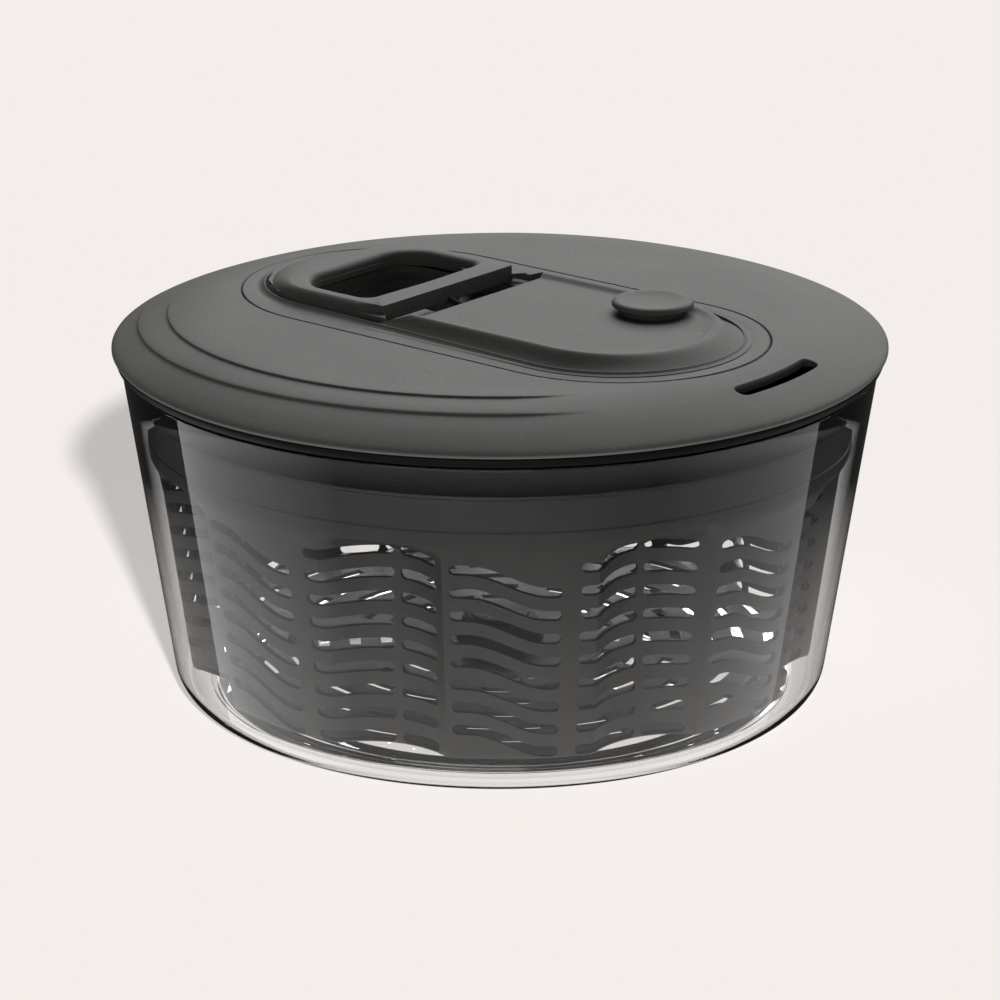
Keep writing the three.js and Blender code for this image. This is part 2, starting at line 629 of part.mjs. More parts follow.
add('handle_top', handleTop(), GREY);
add('handle_base', handleBase(), DARK);
handleScrewPlaces.forEach((place, i) => {
  const screw = turned([[0, 132.3], [2.6, 132.3], [2.6, 133.1], [1.2, 133.1], [1.2, 135.6], [0, 135.6]]);
  add(`handle_screw_${i + 1}`, screw.translate(place), STEEL, 0.35, 1);
});
add('cord_anchor', alongPull(disc(2.2, -3, 3)).translate([ANCHOR_X, 0, pullLine(ANCHOR_X)]), STEEL, 0.4, 1);
const cordStart = ANCHOR_X + 3.3 * Math.cos(PULL_TILT);
const cordEnd = HOUSING_X - 0.8;
add('pull_cord', tube([
  [cordStart, 0, pullLine(cordStart)], [(cordStart + cordEnd) / 2, 0, pullLine((cordStart + cordEnd) / 2)],
  [cordEnd, 0, pullLine(cordEnd)],
], CORD_R, 3), NATURAL);
const eyelet = turned([[1.4, -2.4], [1.9, -2.4], [1.9, 1.8], [2.9, 1.8], [2.9, 2.5], [1.4, 2.5]]);
add('cord_eyelet', alongPull(eyelet).translate(eyeletPlace), STEEL, 0.3, 1);

add('brake_button', turned([
  [0, 114.2], [STEM_R, 114.2], [STEM_R, 131], [BUTTON_SKIRT_R, 131], [BUTTON_SKIRT_R, CAP_UNDER_Z],
  [BUTTON_R, CAP_UNDER_Z], [BUTTON_R, CAP_UNDER_Z + 0.8], [BUTTON_R - 1.6, BUTTON_TOP_Z],
  [10, BUTTON_TOP_Z], [7, BUTTON_TOP_Z - 0.7], [0, BUTTON_TOP_Z - 0.9],
]).translate([BUTTON_X, BUTTON_Y, 0]), GREY);
add('brake_pad', turned([
  [0, 109.4], [PAD_R - 1, 109.4], [PAD_R, 110.4], [PAD_R, 112.6], [STEM_R - 0.6, 112.6], [STEM_R - 0.6, 113.9],
  [0, 113.9],
]).translate([BUTTON_X, BUTTON_Y, 0]), 0x1c1c1c, 0.9);
add('button_spring', buttonSpring(), STEEL, 0.3, 1);

export default group;
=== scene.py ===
import math
import bmesh
import bpy
import numpy as np
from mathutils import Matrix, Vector


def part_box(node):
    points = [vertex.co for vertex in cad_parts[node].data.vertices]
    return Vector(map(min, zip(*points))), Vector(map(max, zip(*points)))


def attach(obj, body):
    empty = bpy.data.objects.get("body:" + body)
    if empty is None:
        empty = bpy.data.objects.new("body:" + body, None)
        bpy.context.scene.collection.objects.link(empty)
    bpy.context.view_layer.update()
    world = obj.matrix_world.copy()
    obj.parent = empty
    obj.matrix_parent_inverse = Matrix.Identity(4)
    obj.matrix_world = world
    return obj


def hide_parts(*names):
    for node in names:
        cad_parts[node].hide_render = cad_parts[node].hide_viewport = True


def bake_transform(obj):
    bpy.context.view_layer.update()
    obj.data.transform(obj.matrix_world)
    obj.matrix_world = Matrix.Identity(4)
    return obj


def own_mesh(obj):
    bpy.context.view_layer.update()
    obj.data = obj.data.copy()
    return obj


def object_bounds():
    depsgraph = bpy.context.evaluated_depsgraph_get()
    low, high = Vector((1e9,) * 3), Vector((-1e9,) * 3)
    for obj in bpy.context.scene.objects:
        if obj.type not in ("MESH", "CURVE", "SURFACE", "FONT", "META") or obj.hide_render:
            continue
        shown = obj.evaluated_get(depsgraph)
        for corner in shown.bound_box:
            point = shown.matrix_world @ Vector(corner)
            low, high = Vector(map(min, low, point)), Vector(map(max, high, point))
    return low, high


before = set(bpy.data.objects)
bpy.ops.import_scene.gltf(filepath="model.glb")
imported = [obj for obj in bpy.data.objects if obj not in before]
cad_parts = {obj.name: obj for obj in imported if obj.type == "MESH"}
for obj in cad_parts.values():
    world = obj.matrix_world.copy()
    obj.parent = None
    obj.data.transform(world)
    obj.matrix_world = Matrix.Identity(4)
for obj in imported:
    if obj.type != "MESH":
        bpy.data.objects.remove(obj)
cad_box = [list(corner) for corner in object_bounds()]

# A pull-cord salad spinner. Lengths below are millimetres and angles degrees, unless a name says otherwise.
MM = 0.001

# ---- places taken from the frame ----
LID_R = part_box("lid_shell")[1][0] / MM
LID_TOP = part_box("lid_shell")[1][2] / MM
BOWL_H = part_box("bowl")[1][2] / MM
BASKET_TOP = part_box("basket")[1][2] / MM
BASKET_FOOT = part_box("basket")[0][2] / MM
HOUSING_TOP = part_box("deck_cover")[1][2] / MM
HANDLE_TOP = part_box("handle_top")[1][2] / MM
BUTTON_LOW, BUTTON_HIGH = [np.array(c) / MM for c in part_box("brake_button")]
BUTTON_AT = (BUTTON_LOW + BUTTON_HIGH) / 2
BUTTON_TOP = BUTTON_HIGH[2]
BUTTON_R = (BUTTON_HIGH[0] - BUTTON_LOW[0]) / 2
COVER_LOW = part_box("lid_inner_cover")[0][2] / MM
FLOOR_Z = cad_box[0][2]

# ---- dimensions of the visible shapes ----
DECK_HALF = 50.0
DECK_R = 52.0
HOUSING_X = -8.0
WELL_X0 = -69.4
WELL_HALF_Y = 29.4
WELL_STEP_X = -37.6
WELL_FLOOR = 117.2
TRENCH_FLOOR = 125.9
LID_SKIN = 2.0
COLUMNS = 720


# ---- mesh helpers ----
def make_mesh(name, verts, faces, material, body, sharp=32.0):
    mesh = bpy.data.meshes.new(name)
    metres = (np.asarray(verts, dtype=float) * MM).tolist()
    mesh.from_pydata(metres, [], [list(map(int, f)) for f in faces])
    mesh.validate()
    mesh.shade_smooth()
    mesh.set_sharp_from_angle(angle=math.radians(sharp))
    mesh.materials.append(material)
    piece = bpy.data.objects.new(name, mesh)
    bpy.context.scene.collection.objects.link(piece)
    if body is not None:
        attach(piece, body)
    return piece


def strip_faces(rings, columns, wrap_rings=False, wrap_columns=True, skip=None):
    """Quads between consecutive rings of points; skip(ring, column) leaves a hole."""
    faces = []
    last_ring = rings if wrap_rings else rings - 1
    last_column = columns if wrap_columns else columns - 1
    for i in range(last_ring):
        a = i * columns
        b = ((i + 1) % rings) * columns
        for j in range(last_column):
            if skip is not None and skip(i, j):
                continue
            k = (j + 1) % columns
            faces.append((a + j, a + k, b + k, b + j))
    return faces


def loft(name, rings, material, body, wrap_rings=False, cap_start=False, cap_end=False, sharp=32.0):
    """A skin through closed rings that all have the same number of points."""
    rings = np.asarray(rings, dtype=float)
    count, columns = rings.shape[:2]
    faces = strip_faces(count, columns, wrap_rings)
    if cap_start:
        faces.append(tuple(range(columns))[::-1])
    if cap_end:
        faces.append(tuple((count - 1) * columns + j for j in range(columns)))
    return make_mesh(name, rings.reshape(-1, 3), faces, material, body, sharp)


def face_out(piece):
    """Turns every face of a closed piece outwards."""
    work = bmesh.new()
    work.from_mesh(piece.data)
    bmesh.ops.recalc_face_normals(work, faces=work.faces)
    work.to_mesh(piece.data)
    work.free()
    return piece


def apply_modifiers(piece, sharp):
    """Applies a piece's modifiers, then marks the edges they made sharp."""
    solid = bpy.data.meshes.new_from_object(piece.evaluated_get(bpy.context.evaluated_depsgraph_get()))
    piece.modifiers.clear()
    piece.data = solid
    solid.shade_smooth()
    solid.set_sharp_from_angle(angle=math.radians(sharp))


def cut(piece, cutter, sharp):
    """Takes a cutter's shape out of a closed piece."""
    carve = piece.modifiers.new("cut", "BOOLEAN")
    carve.operation = "DIFFERENCE"
    carve.solver = "EXACT"
    carve.object = cutter
    apply_modifiers(piece, sharp)
    bpy.data.objects.remove(cutter)


def sweep(name, path, radius, material, body, columns=10):
    """A round wire along a path of points."""
    path = np.asarray(path, dtype=float)
    ahead = np.gradient(path, axis=0)
    ahead /= np.linalg.norm(ahead, axis=1, keepdims=True)
    side = np.cross(ahead, (0.0, 0.0, 1.0))
    side /= np.linalg.norm(side, axis=1, keepdims=True)
    over = np.cross(side, ahead)
    turn = np.linspace(0, 2 * math.pi, columns, endpoint=False)[:, None]
    rings = [p + radius * (np.cos(turn) * a + np.sin(turn) * b) for p, a, b in zip(path, side, over)]
    return face_out(loft(name, rings, material, body, cap_start=True, cap_end=True, sharp=50))


def lathe(name, profile, material, body, columns=192, centre=(0, 0), sharp=32.0):
    """A closed turned piece: profile is (radius, height) pairs, from axis to axis or all the way round."""
    profile = [tuple(p) for p in profile]
    turn = np.linspace(0, 2 * math.pi, columns, endpoint=False)
    on_axis = profile[0][0] == 0 and profile[-1][0] == 0
    body_points = profile[1:-1] if on_axis else profile
    rings = np.array([
        np.stack([centre[0] + r * np.cos(turn), centre[1] + r * np.sin(turn), np.full(columns, z)], 1)
        for r, z in body_points
    ])
    verts = rings.reshape(-1, 3)
    faces = strip_faces(len(rings), columns, wrap_rings=not on_axis)
    if on_axis:
        poles = [[centre[0], centre[1], profile[k][1]] for k in (0, -1)]
        verts = np.vstack([verts, *poles])
        first, last = len(verts) - 2, len(verts) - 1
        base = (len(rings) - 1) * columns
        faces += [(first, (j + 1) % columns, j) for j in range(columns)]
        faces += [(last, base + j, base + (j + 1) % columns) for j in range(columns)]
    return face_out(make_mesh(name, verts, faces, material, body, sharp))


def arc(centre, radius, start, end, steps):
    """Points of an arc about a centre, from start to end degrees."""
    angles = np.radians(np.linspace(start, end, steps + 1))
    return [(centre[0] + radius * math.cos(a), centre[1] + radius * math.sin(a)) for a in angles]


def smooth(x, low, high):
    t = np.clip((np.asarray(x, dtype=float) - low) / (high - low), 0, 1)
    return t * t * (3 - 2 * t)


def by_angle(outline, centre, columns=COLUMNS):
    """Resamples a closed outline, star-shaped about centre, at equal angles round it."""
    outline = np.asarray(outline, dtype=float)
    closed = np.vstack([outline, outline[:1]])
    steps = np.linspace(0, 1, 24, endpoint=False)[:, None]
    sides = zip(closed[:-1], closed[1:])
    dense = np.concatenate([a + (b - a) * steps for a, b in sides])
    angle = np.arctan2(dense[:, 1] - centre[1], dense[:, 0] - centre[0])
    order = np.argsort(angle)
    angle, dense = angle[order], dense[order]
    angle = np.concatenate([angle - 2 * math.pi, angle, angle + 2 * math.pi])
    dense = np.concatenate([dense, dense, dense])
    wanted = np.linspace(-math.pi, math.pi, columns, endpoint=False)
    return np.stack([np.interp(wanted, angle, dense[:, k]) for k in (0, 1)], axis=1)


def rounded_rect(x0, x1, half_y, corner):
    return (arc((x1 - corner, half_y - corner), corner, 0, 90, 10)
            + arc((x0 + corner, half_y - corner), corner, 90, 180, 10)
            + arc((x0 + corner, corner - half_y), corner, 180, 270, 10)
            + arc((x1 - corner, corner - half_y), corner, 270, 360, 10))


def pill(left_x, left_r, right_x, right_r):
    return arc((left_x, 0), left_r, 90, 270, 48) + arc((right_x, 0), right_r, -90, 90, 48)


def at_height(outline, z):
    z = np.broadcast_to(np.asarray(z, dtype=float), (len(outline),))
    return np.column_stack([outline, z])


# ---- materials ----
def new_material(name):
    material = bpy.data.materials.new(name)
    material.use_nodes = True
    return material, material.node_tree.nodes, material.node_tree.links


def noise(nodes, links, coords, scale, detail=4.0, rough=0.55):
    node = nodes.new("ShaderNodeTexNoise")
    node.inputs["Scale"].default_value = scale
    node.inputs["Detail"].default_value = detail
    node.inputs["Roughness"].default_value = rough
    links.new(coords, node.inputs["Vector"])
    return node


def ramp(nodes, links, value, low, high, dark, light):
    node = nodes.new("ShaderNodeValToRGB")
    node.color_ramp.elements[0].position = low
    node.color_ramp.elements[1].position = high
    node.color_ramp.elements[0].color = (*dark, 1)
    node.color_ramp.elements[1].color = (*light, 1)
    links.new(value, node.inputs["Fac"])
    return node


def span(nodes, links, value, low, high):
    node = nodes.new("ShaderNodeMapRange")
    node.inputs["To Min"].default_value = low
    node.inputs["To Max"].default_value = high
    links.new(value, node.inputs["Value"])
    return node.outputs["Result"]


GRAIN_DEPTH = 0.000012  # metres
GRAIN_SCALE = 1900.0
MOTTLE = 0.08


def moulded(name, colour, rough=(0.42, 0.55), specular=0.45, speck=0.06):
    """Moulded plastic: an even colour with faint mottling and specks, and a fine spark-eroded grain."""
    material, nodes, links = new_material(name)
    shader = nodes["Principled BSDF"]
    coords = nodes.new("ShaderNodeTexCoord").outputs["Object"]
    cloud = noise(nodes, links, coords, 22.0, 3.0)
    fine = noise(nodes, links, coords, GRAIN_SCALE, 2.0, 0.6)
    specks = noise(nodes, links, coords, 620.0, 1.0, 0.4)
    dark = tuple(c * (1 - MOTTLE) for c in colour)
    light = tuple(c * (1 + MOTTLE) for c in colour)
    base = ramp(nodes, links, cloud.outputs["Fac"], 0.3, 0.7, dark, light)
    bright = ramp(nodes, links, specks.outputs["Fac"], 0.66, 0.78, (0, 0, 0), (speck, speck, speck))
    mix = nodes.new("ShaderNodeMix")
    mix.data_type = "RGBA"
    mix.blend_type = "ADD"
    mix.inputs["Factor"].default_value = 1.0
    links.new(base.outputs["Color"], mix.inputs["A"])
    links.new(bright.outputs["Color"], mix.inputs["B"])
    links.new(mix.outputs["Result"], shader.inputs["Base Color"])
    links.new(span(nodes, links, fine.outputs["Fac"], *rough), shader.inputs["Roughness"])
    bump = nodes.new("ShaderNodeBump")
    bump.inputs["Strength"].default_value = 0.6
    bump.inputs["Distance"].default_value = GRAIN_DEPTH
    links.new(fine.outputs["Fac"], bump.inputs["Height"])
    links.new(bump.outputs["Normal"], shader.inputs["Normal"])
    shader.inputs["Specular IOR Level"].default_value = specular
    return material


def metal(name, colour, rough=(0.2, 0.38)):
    material, nodes, links = new_material(name)
    shader = nodes["Principled BSDF"]
    coords = nodes.new("ShaderNodeTexCoord").outputs["Object"]
    marks = noise(nodes, links, coords, 700.0, 5.0)
    tone = ramp(nodes, links, marks.outputs["Fac"], 0.3, 0.7, tuple(c * 0.85 for c in colour), colour)
    links.new(tone.outputs["Color"], shader.inputs["Base Color"])
    links.new(span(nodes, links, marks.outputs["Fac"], *rough), shader.inputs["Roughness"])
    shader.inputs["Metallic"].default_value = 1.0
    return material


def braid(name, colour):
    """Braided cord: two sets of slanting strands."""
    material, nodes, links = new_material(name)
    shader = nodes["Principled BSDF"]
    coords = nodes.new("ShaderNodeTexCoord").outputs["Object"]
    waves = []
    for tilt in (-0.7, 0.7):
        turn = nodes.new("ShaderNodeMapping")
        turn.inputs["Rotation"].default_value = (tilt, 0.4, tilt)
        links.new(coords, turn.inputs["Vector"])
        wave = nodes.new("ShaderNodeTexWave")
        wave.inputs["Scale"].default_value = 480.0
        wave.inputs["Distortion"].default_value = 0.6
        links.new(turn.outputs["Vector"], wave.inputs["Vector"])
        waves.append(wave)
    both = nodes.new("ShaderNodeMath")
    both.operation = "MULTIPLY"
    links.new(waves[0].outputs["Fac"], both.inputs[0])
    links.new(waves[1].outputs["Fac"], both.inputs[1])
    tone = ramp(nodes, links, both.outputs["Value"], 0.1, 0.8, tuple(c * 0.55 for c in colour), colour)
    links.new(tone.outputs["Color"], shader.inputs["Base Color"])
    bump = nodes.new("ShaderNodeBump")
    bump.inputs["Distance"].default_value = 0.0002
    links.new(both.outputs["Value"], bump.inputs["Height"])
    links.new(bump.outputs["Normal"], shader.inputs["Normal"])
    shader.inputs["Roughness"].default_value = 0.8
    return material


def clear_plastic(name):
    """Polished clear plastic with the faintest ripple and scuffing from the mould and from washing, and
    painted shade that darkens its colour towards the silhouettes.
    """
    material, nodes, links = new_material(name)
    shader = nodes["Principled BSDF"]
    coords = nodes.new("ShaderNodeTexCoord").outputs["Object"]
    ripple = noise(nodes, links, coords, 14.0, 2.0)
    scuffs = noise(nodes, links, coords, 260.0, 6.0)
    dull, bright = (0.955, 0.965, 0.965), (0.985, 0.99, 0.99)
    tone = ramp(nodes, links, ripple.outputs["Fac"], 0.3, 0.7, dull, bright)
    # Painted shade: the colour darkens towards the silhouettes, where the surface turns away from the view.
    facing = nodes.new("ShaderNodeLayerWeight")
    facing.inputs["Blend"].default_value = 0.5
    edge = ramp(nodes, links, facing.outputs["Facing"], 0.62, 0.93, (1, 1, 1), (0.5, 0.5, 0.505))
    ripple_tone_and_edge_shade = nodes.new("ShaderNodeMix")
    ripple_tone_and_edge_shade.data_type = "RGBA"
    ripple_tone_and_edge_shade.blend_type = "MULTIPLY"
    ripple_tone_and_edge_shade.inputs["Factor"].default_value = 1.0
    links.new(tone.outputs["Color"], ripple_tone_and_edge_shade.inputs["A"])
    links.new(edge.outputs["Color"], ripple_tone_and_edge_shade.inputs["B"])
    links.new(ripple_tone_and_edge_shade.outputs["Result"], shader.inputs["Base Color"])
    links.new(span(nodes, links, scuffs.outputs["Fac"], 0.0, 0.02), shader.inputs["Roughness"])
    bump = nodes.new("ShaderNodeBump")
    bump.inputs["Strength"].default_value = 0.25
    bump.inputs["Distance"].default_value = 0.0002
    links.new(ripple.outputs["Fac"], bump.inputs["Height"])
    links.new(bump.outputs["Normal"], shader.inputs["Normal"])
    shader.inputs["Transmission Weight"].default_value = 1.0
    shader.inputs["IOR"].default_value = 1.57
    return material


LID_GREY = moulded("lid_grey", (0.175, 0.176, 0.168), rough=(0.55, 0.68), specular=0.22)
BASKET_GREY = moulded("basket_grey", (0.098, 0.098, 0.096), rough=(0.4, 0.52), speck=0.01)
BLACK = moulded("cover_black", (0.012, 0.012, 0.012), rough=(0.4, 0.5), speck=0.004, specular=0.25)
DARK = moulded("drive_dark", (0.03, 0.03, 0.031), speck=0.006)
NATURAL = moulded("natural_acetal", (0.62, 0.6, 0.54), rough=(0.3, 0.4), speck=0.0)
# Black rubber of the brake pad. The same black is the painted shade of the ring under the bowl's floor.
RUBBER_AND_FOOT_SHADE = moulded("brake_rubber", (0.018, 0.018, 0.018), rough=(0.75, 0.9), speck=0.0, specular=0.2)
STEEL = metal("steel", (0.6, 0.61, 0.62))
CORD = braid("cord_braid", (0.05, 0.05, 0.05))
CLEAR = clear_plastic("clear_plastic")


# ---- camera, light and floor ----
VIEW_TURN_DEG = 39.6
VIEW_DOWN_DEG = 18.84
VIEW_TURN = math.radians(VIEW_TURN_DEG)
VIEW_FROM = (0.7620, -0.9211, 0.4714)  # metres
LENS = 130.7
FLOOR_HALF = 12.0  # metres
FLOOR_TINT = (0.871, 0.831, 0.807, 1)
PATCH_NEAR, PATCH_FAR = 0.13, 0.26  # metres
PANEL_NEAR = -1.1  # metres away from the middle, along the view
PANEL_LOW, PANEL_HIGH = -2.2, -0.02
SUN_TOWARDS = (-47, 262, -122)


def camera():
    data = bpy.data.cameras.new("camera")
    data.sensor_width = 36.0
    data.lens = LENS
    data.clip_end = 50.0
    view = bpy.data.objects.new("camera", data)
    view.location = VIEW_FROM
    view.rotation_euler = (math.radians(90 - VIEW_DOWN_DEG), 0, VIEW_TURN)
    bpy.context.scene.collection.objects.link(view)
    bpy.context.scene.camera = view


def seen(x, y, z):
    """A place given by the viewer's right, away and up, in the row frame (metres)."""
    c, s = math.cos(VIEW_TURN), math.sin(VIEW_TURN)
    return Vector((x * c - y * s, x * s + y * c, z))


def area_light(name, place, target, size, power, lit):
    """A soft rectangular light; lit is the collection it falls on."""
    data = bpy.data.lights.new(name, "AREA")
    data.shape = "RECTANGLE"
    data.size, data.size_y = size
    data.energy = power
    light = bpy.data.objects.new(name, data)
    light.location = seen(*place)
    light.rotation_euler = (seen(*target) - light.location).to_track_quat("-Z", "Y").to_euler()
    bpy.context.scene.collection.objects.link(light)
    light.light_linking.receiver_collection = lit
    return light


def shine_through(light, piece):
    """Lets a light pass a clear piece."""
    passed = bpy.data.collections.new("passed_by_" + light.name)
    passed.objects.link(piece)
    passed.collection_objects[0].light_linking.link_state = "EXCLUDE"
    light.light_linking.blocker_collection = passed


def reflector(name, side, far_edge, strength):
    """A tall panel seen only in reflections. Its far edge is sharp, and it fades towards its near edge."""
    corners = [
        seen(side, PANEL_NEAR, PANEL_LOW), seen(side, far_edge, PANEL_LOW),
        seen(side, far_edge, PANEL_HIGH), seen(side, PANEL_NEAR, PANEL_HIGH),
    ]
    mesh = bpy.data.meshes.new(name)
    mesh.from_pydata(corners, [], [(0, 1, 2, 3)])
    panel = bpy.data.objects.new(name, mesh)
    bpy.context.scene.collection.objects.link(panel)
    panel.visible_camera = False
    panel.visible_diffuse = False
    panel.visible_transmission = False
    panel.visible_shadow = False
    material, nodes, links = new_material(name)
    coords = nodes.new("ShaderNodeTexCoord").outputs["Object"]
    turn = nodes.new("ShaderNodeVectorRotate")
    turn.inputs["Angle"].default_value = -VIEW_TURN
    links.new(coords, turn.inputs["Vector"])
    parts = nodes.new("ShaderNodeSeparateXYZ")
    links.new(turn.outputs["Vector"], parts.inputs["Vector"])
    fade = nodes.new("ShaderNodeMapRange")
    fade.inputs["From Min"].default_value = PANEL_NEAR
    fade.inputs["From Max"].default_value = far_edge
    fade.inputs["To Max"].default_value = strength
    links.new(parts.outputs["Y"], fade.inputs["Value"])
    glow = nodes.new("ShaderNodeEmission")
    links.new(fade.outputs["Result"], glow.inputs["Strength"])
    links.new(glow.outputs[0], nodes["Material Output"].inputs["Surface"])
    mesh.materials.append(material)


def studio():
    scene = bpy.context.scene
    scene.view_settings.view_transform = "Standard"
    world = bpy.data.worlds.new("studio")
    scene.world = world
    world.use_nodes = True
    back = world.node_tree.nodes["Background"]
    back.inputs["Color"].default_value = (1.0, 0.985, 0.97, 1)
    back.inputs["Strength"].default_value = 0.03

    size = FLOOR_HALF
    mesh = bpy.data.meshes.new("studio_floor")
    corners = [(x * size, y * size, FLOOR_Z) for x, y in ((-1, -1), (1, -1), (1, 1), (-1, 1))]
    mesh.from_pydata(corners, [], [(0, 1, 2, 3)])
    floor = bpy.data.objects.new("studio_floor", mesh)
    scene.collection.objects.link(floor)
    floor.visible_glossy = False

    material, nodes, links = new_material("studio_floor")
    diffuse = nodes.new("ShaderNodeBsdfDiffuse")
    diffuse.inputs["Color"].default_value = (0.255, 0.25, 0.248, 1)
    glow = nodes.new("ShaderNodeEmission")
    glow.inputs["Color"].default_value = FLOOR_TINT
    glow.inputs["Strength"].default_value = 0.6
    lit = nodes.new("ShaderNodeAddShader")
    links.new(diffuse.outputs[0], lit.inputs[0])
    links.new(glow.outputs[0], lit.inputs[1])
    # Seen straight on it takes the shadow, and through the bowl it is evenly bright.
    # Reflected inside the bowl, only the part close round it shows.
    path = nodes.new("ShaderNodeLightPath")
    coords = nodes.new("ShaderNodeTexCoord").outputs["Object"]
    away = nodes.new("ShaderNodeVectorMath")
    away.operation = "LENGTH"
    links.new(coords, away.inputs[0])
    patch = nodes.new("ShaderNodeMapRange")
    patch.inputs["From Min"].default_value = PATCH_NEAR
    patch.inputs["From Max"].default_value = PATCH_FAR
    patch.inputs["To Min"].default_value = 1.0
    patch.inputs["To Max"].default_value = 0.0
    links.new(away.outputs["Value"], patch.inputs["Value"])
    mirrored = nodes.new("ShaderNodeMath")
    mirrored.operation = "GREATER_THAN"
    mirrored.inputs[1].default_value = 0.5
    links.new(path.outputs["Glossy Depth"], mirrored.inputs[0])
    level = nodes.new("ShaderNodeMix")
    level.inputs["A"].default_value = 1.02
    links.new(mirrored.outputs["Value"], level.inputs["Factor"])
    links.new(patch.outputs["Result"], level.inputs["B"])
    even = nodes.new("ShaderNodeEmission")
    even.inputs["Color"].default_value = FLOOR_TINT
    links.new(level.outputs["Result"], even.inputs["Strength"])
    total = nodes.new("ShaderNodeMixShader")
    links.new(path.outputs["Is Camera Ray"], total.inputs["Fac"])
    links.new(even.outputs[0], total.inputs[1])
    links.new(lit.outputs[0], total.inputs[2])
    links.new(total.outputs[0], nodes["Material Output"].inputs["Surface"])
    mesh.materials.append(material)

    only_floor = bpy.data.collections.new("only_floor")
    only_floor.objects.link(floor)
    not_floor = bpy.data.collections.new("not_floor")
    not_floor.objects.link(floor)
    not_floor.collection_objects[0].light_linking.link_state = "EXCLUDE"

    data = bpy.data.lights.new("floor_sun", "SUN")
    data.energy = 10.9
    data.angle = math.radians(2.6)
    data.color = (1.0, 0.965, 0.94)
    sun = bpy.data.objects.new("floor_sun", data)
    sun.rotation_euler = seen(*SUN_TOWARDS).to_track_quat("-Z", "Y").to_euler()
    scene.collection.objects.link(sun)
    sun.light_linking.receiver_collection = only_floor

    reflector("left_reflector", -1.3, 0.575, 1.5)
    reflector("right_reflector", 1.3, 0.52, 0.8)
    overhead = area_light("overhead", (0.5, 1.75, 1.5), (0, 0, 0.12), (2.4, 2.0), 51, not_floor)
    front = area_light("front", (-0.5, -2.2, 0.35), (0, 0, 0.06), (1.8, 1.0), 3.2, not_floor)
    return overhead, front


# ---- bowl ----
RING_R0 = 84.5
RING_R1 = 99.0
RING_Z = 1.3
GROOVES = (96.2, 93.4, 90.6, 87.8)
FLOOR_RIBS = (101.5, 98.5, 95.5, 92.5)
BOWL_FLOOR = 3.0


def foot_shade_ring():
    """A black ring with fine grooves in the underside of the bowl. It is painted shade that stands in for
    the dark floor under the bowl's foot.
    """
    profile = [(RING_R0, 0.2), (RING_R1, 0.2), (RING_R1, RING_Z - 0.15)]
    for r in GROOVES:
        profile += [(r + 0.3, RING_Z - 0.15), (r, RING_Z - 0.5), (r - 0.3, RING_Z - 0.15)]
    profile += [(RING_R0, RING_Z - 0.15)]
    piece = lathe("foot_shade_ring", profile, RUBBER_AND_FOOT_SHADE, "bowl", 288)
    return piece


def bowl():
    foot_r, slope, wall, corner = 112.84, 0.1421, 2.6, 10.8
    lean = math.degrees(math.atan(slope))

    def wall_r(z):
        return foot_r + slope * z

    def base_corner(inset, floor, radius):
        centre_r = wall_r(floor + radius) - inset - radius * (1 + slope * 0.07)
        return arc((centre_r, floor + radius), radius, -90, -lean, 12)

    profile = [(0, RING_Z), (RING_R1 + 0.2, RING_Z), (RING_R1 + 0.8, RING_Z - 0.2), (RING_R1 + 1.2, 0.1),
               (RING_R1 + 1.6, 0)] + base_corner(0, 0, corner)
    profile += [(wall_r(z), z) for z in np.linspace(22, BOWL_H - 1.0, 10)]
    top = wall_r(BOWL_H)
    profile += arc((top - wall / 2, BOWL_H - wall / 2), wall / 2, 0, 180, 8)
    profile += [(wall_r(z) - wall, z) for z in np.linspace(BOWL_H - 2.0, 22, 10)]
    profile += base_corner(wall, BOWL_FLOOR, corner - wall)[::-1]
    for r in FLOOR_RIBS:
        profile += [(r + 0.5, BOWL_FLOOR), (r + 0.25, 3.7), (r - 0.25, 3.7), (r - 0.5, BOWL_FLOOR)]
    profile += [(60, BOWL_FLOOR), (13, BOWL_FLOOR), (9.6, 3.8), (7.2, 6), (5.4, 12)]
    profile += [(3.4, 17.4), (2.2, 19.4), (0.9, 19.95), (0, 20)]
    piece = lathe("clear_bowl", profile, CLEAR, "bowl", 288, sharp=40)
    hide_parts("bowl")
    return piece


# ---- basket ----
LOBES = 8
LOBE = 360.0 / LOBES
BAY_AT = -69.4
BAY_HALF = 9.9
ROWS = 9
ROW_PITCH = 8.2
TOP_ROW = 80.4
SLOT_HALF = 1.85
GROUPS = [(-13.3, -0.3), (0.9, 8.5), (11.0, 28.8)]  # slot columns, from each bay's middle
SLANTED = 2
WALL_R = 117.7
WALL_TOP = 81
WALL_TAPER = 0.128
BAND_OUT = 3.8
BAY_LOW = 13
BAY_DEPTHS = (8, 15.5)  # at the foot and at the top of a bay
BASKET_WALL = 1.5
BASKET_FLOOR_R = [104.5, 101, 97, 93, 86, 82, 75, 71, 64, 60, 53, 49, 42, 38, 26, 16]


def basket_columns():
    """Angles of the columns in one lobe, each with its slot group and how far the slot is open."""
    end_steps = [0.0, 0.076, 0.293, 0.617, 1.0]
    openness = [0.012, 0.383, 0.707, 0.924, 1.0]
    round_off = math.degrees(SLOT_HALF / 117)
    columns = []
    for g, (start, stop) in enumerate(GROUPS):
        columns += [(start + round_off * s, g, o) for s, o in zip(end_steps, openness)]
        inner = stop - start - 2 * round_off
        count = max(2, round(inner / 0.9))
        columns += [(start + round_off + inner * i / count, g, 1.0) for i in range(1, count)]
        columns += [(stop - round_off * s, g, o) for s, o in zip(end_steps[::-1], openness[::-1])]
        gap_end = GROUPS[g + 1][0] if g + 1 < len(GROUPS) else GROUPS[0][0] + LOBE
        ribs = (1, 4, 3)[g]
        columns += [(stop + (gap_end - stop) * (i + 1) / (ribs + 1), None, 0.7) for i in range(ribs)]
    return columns


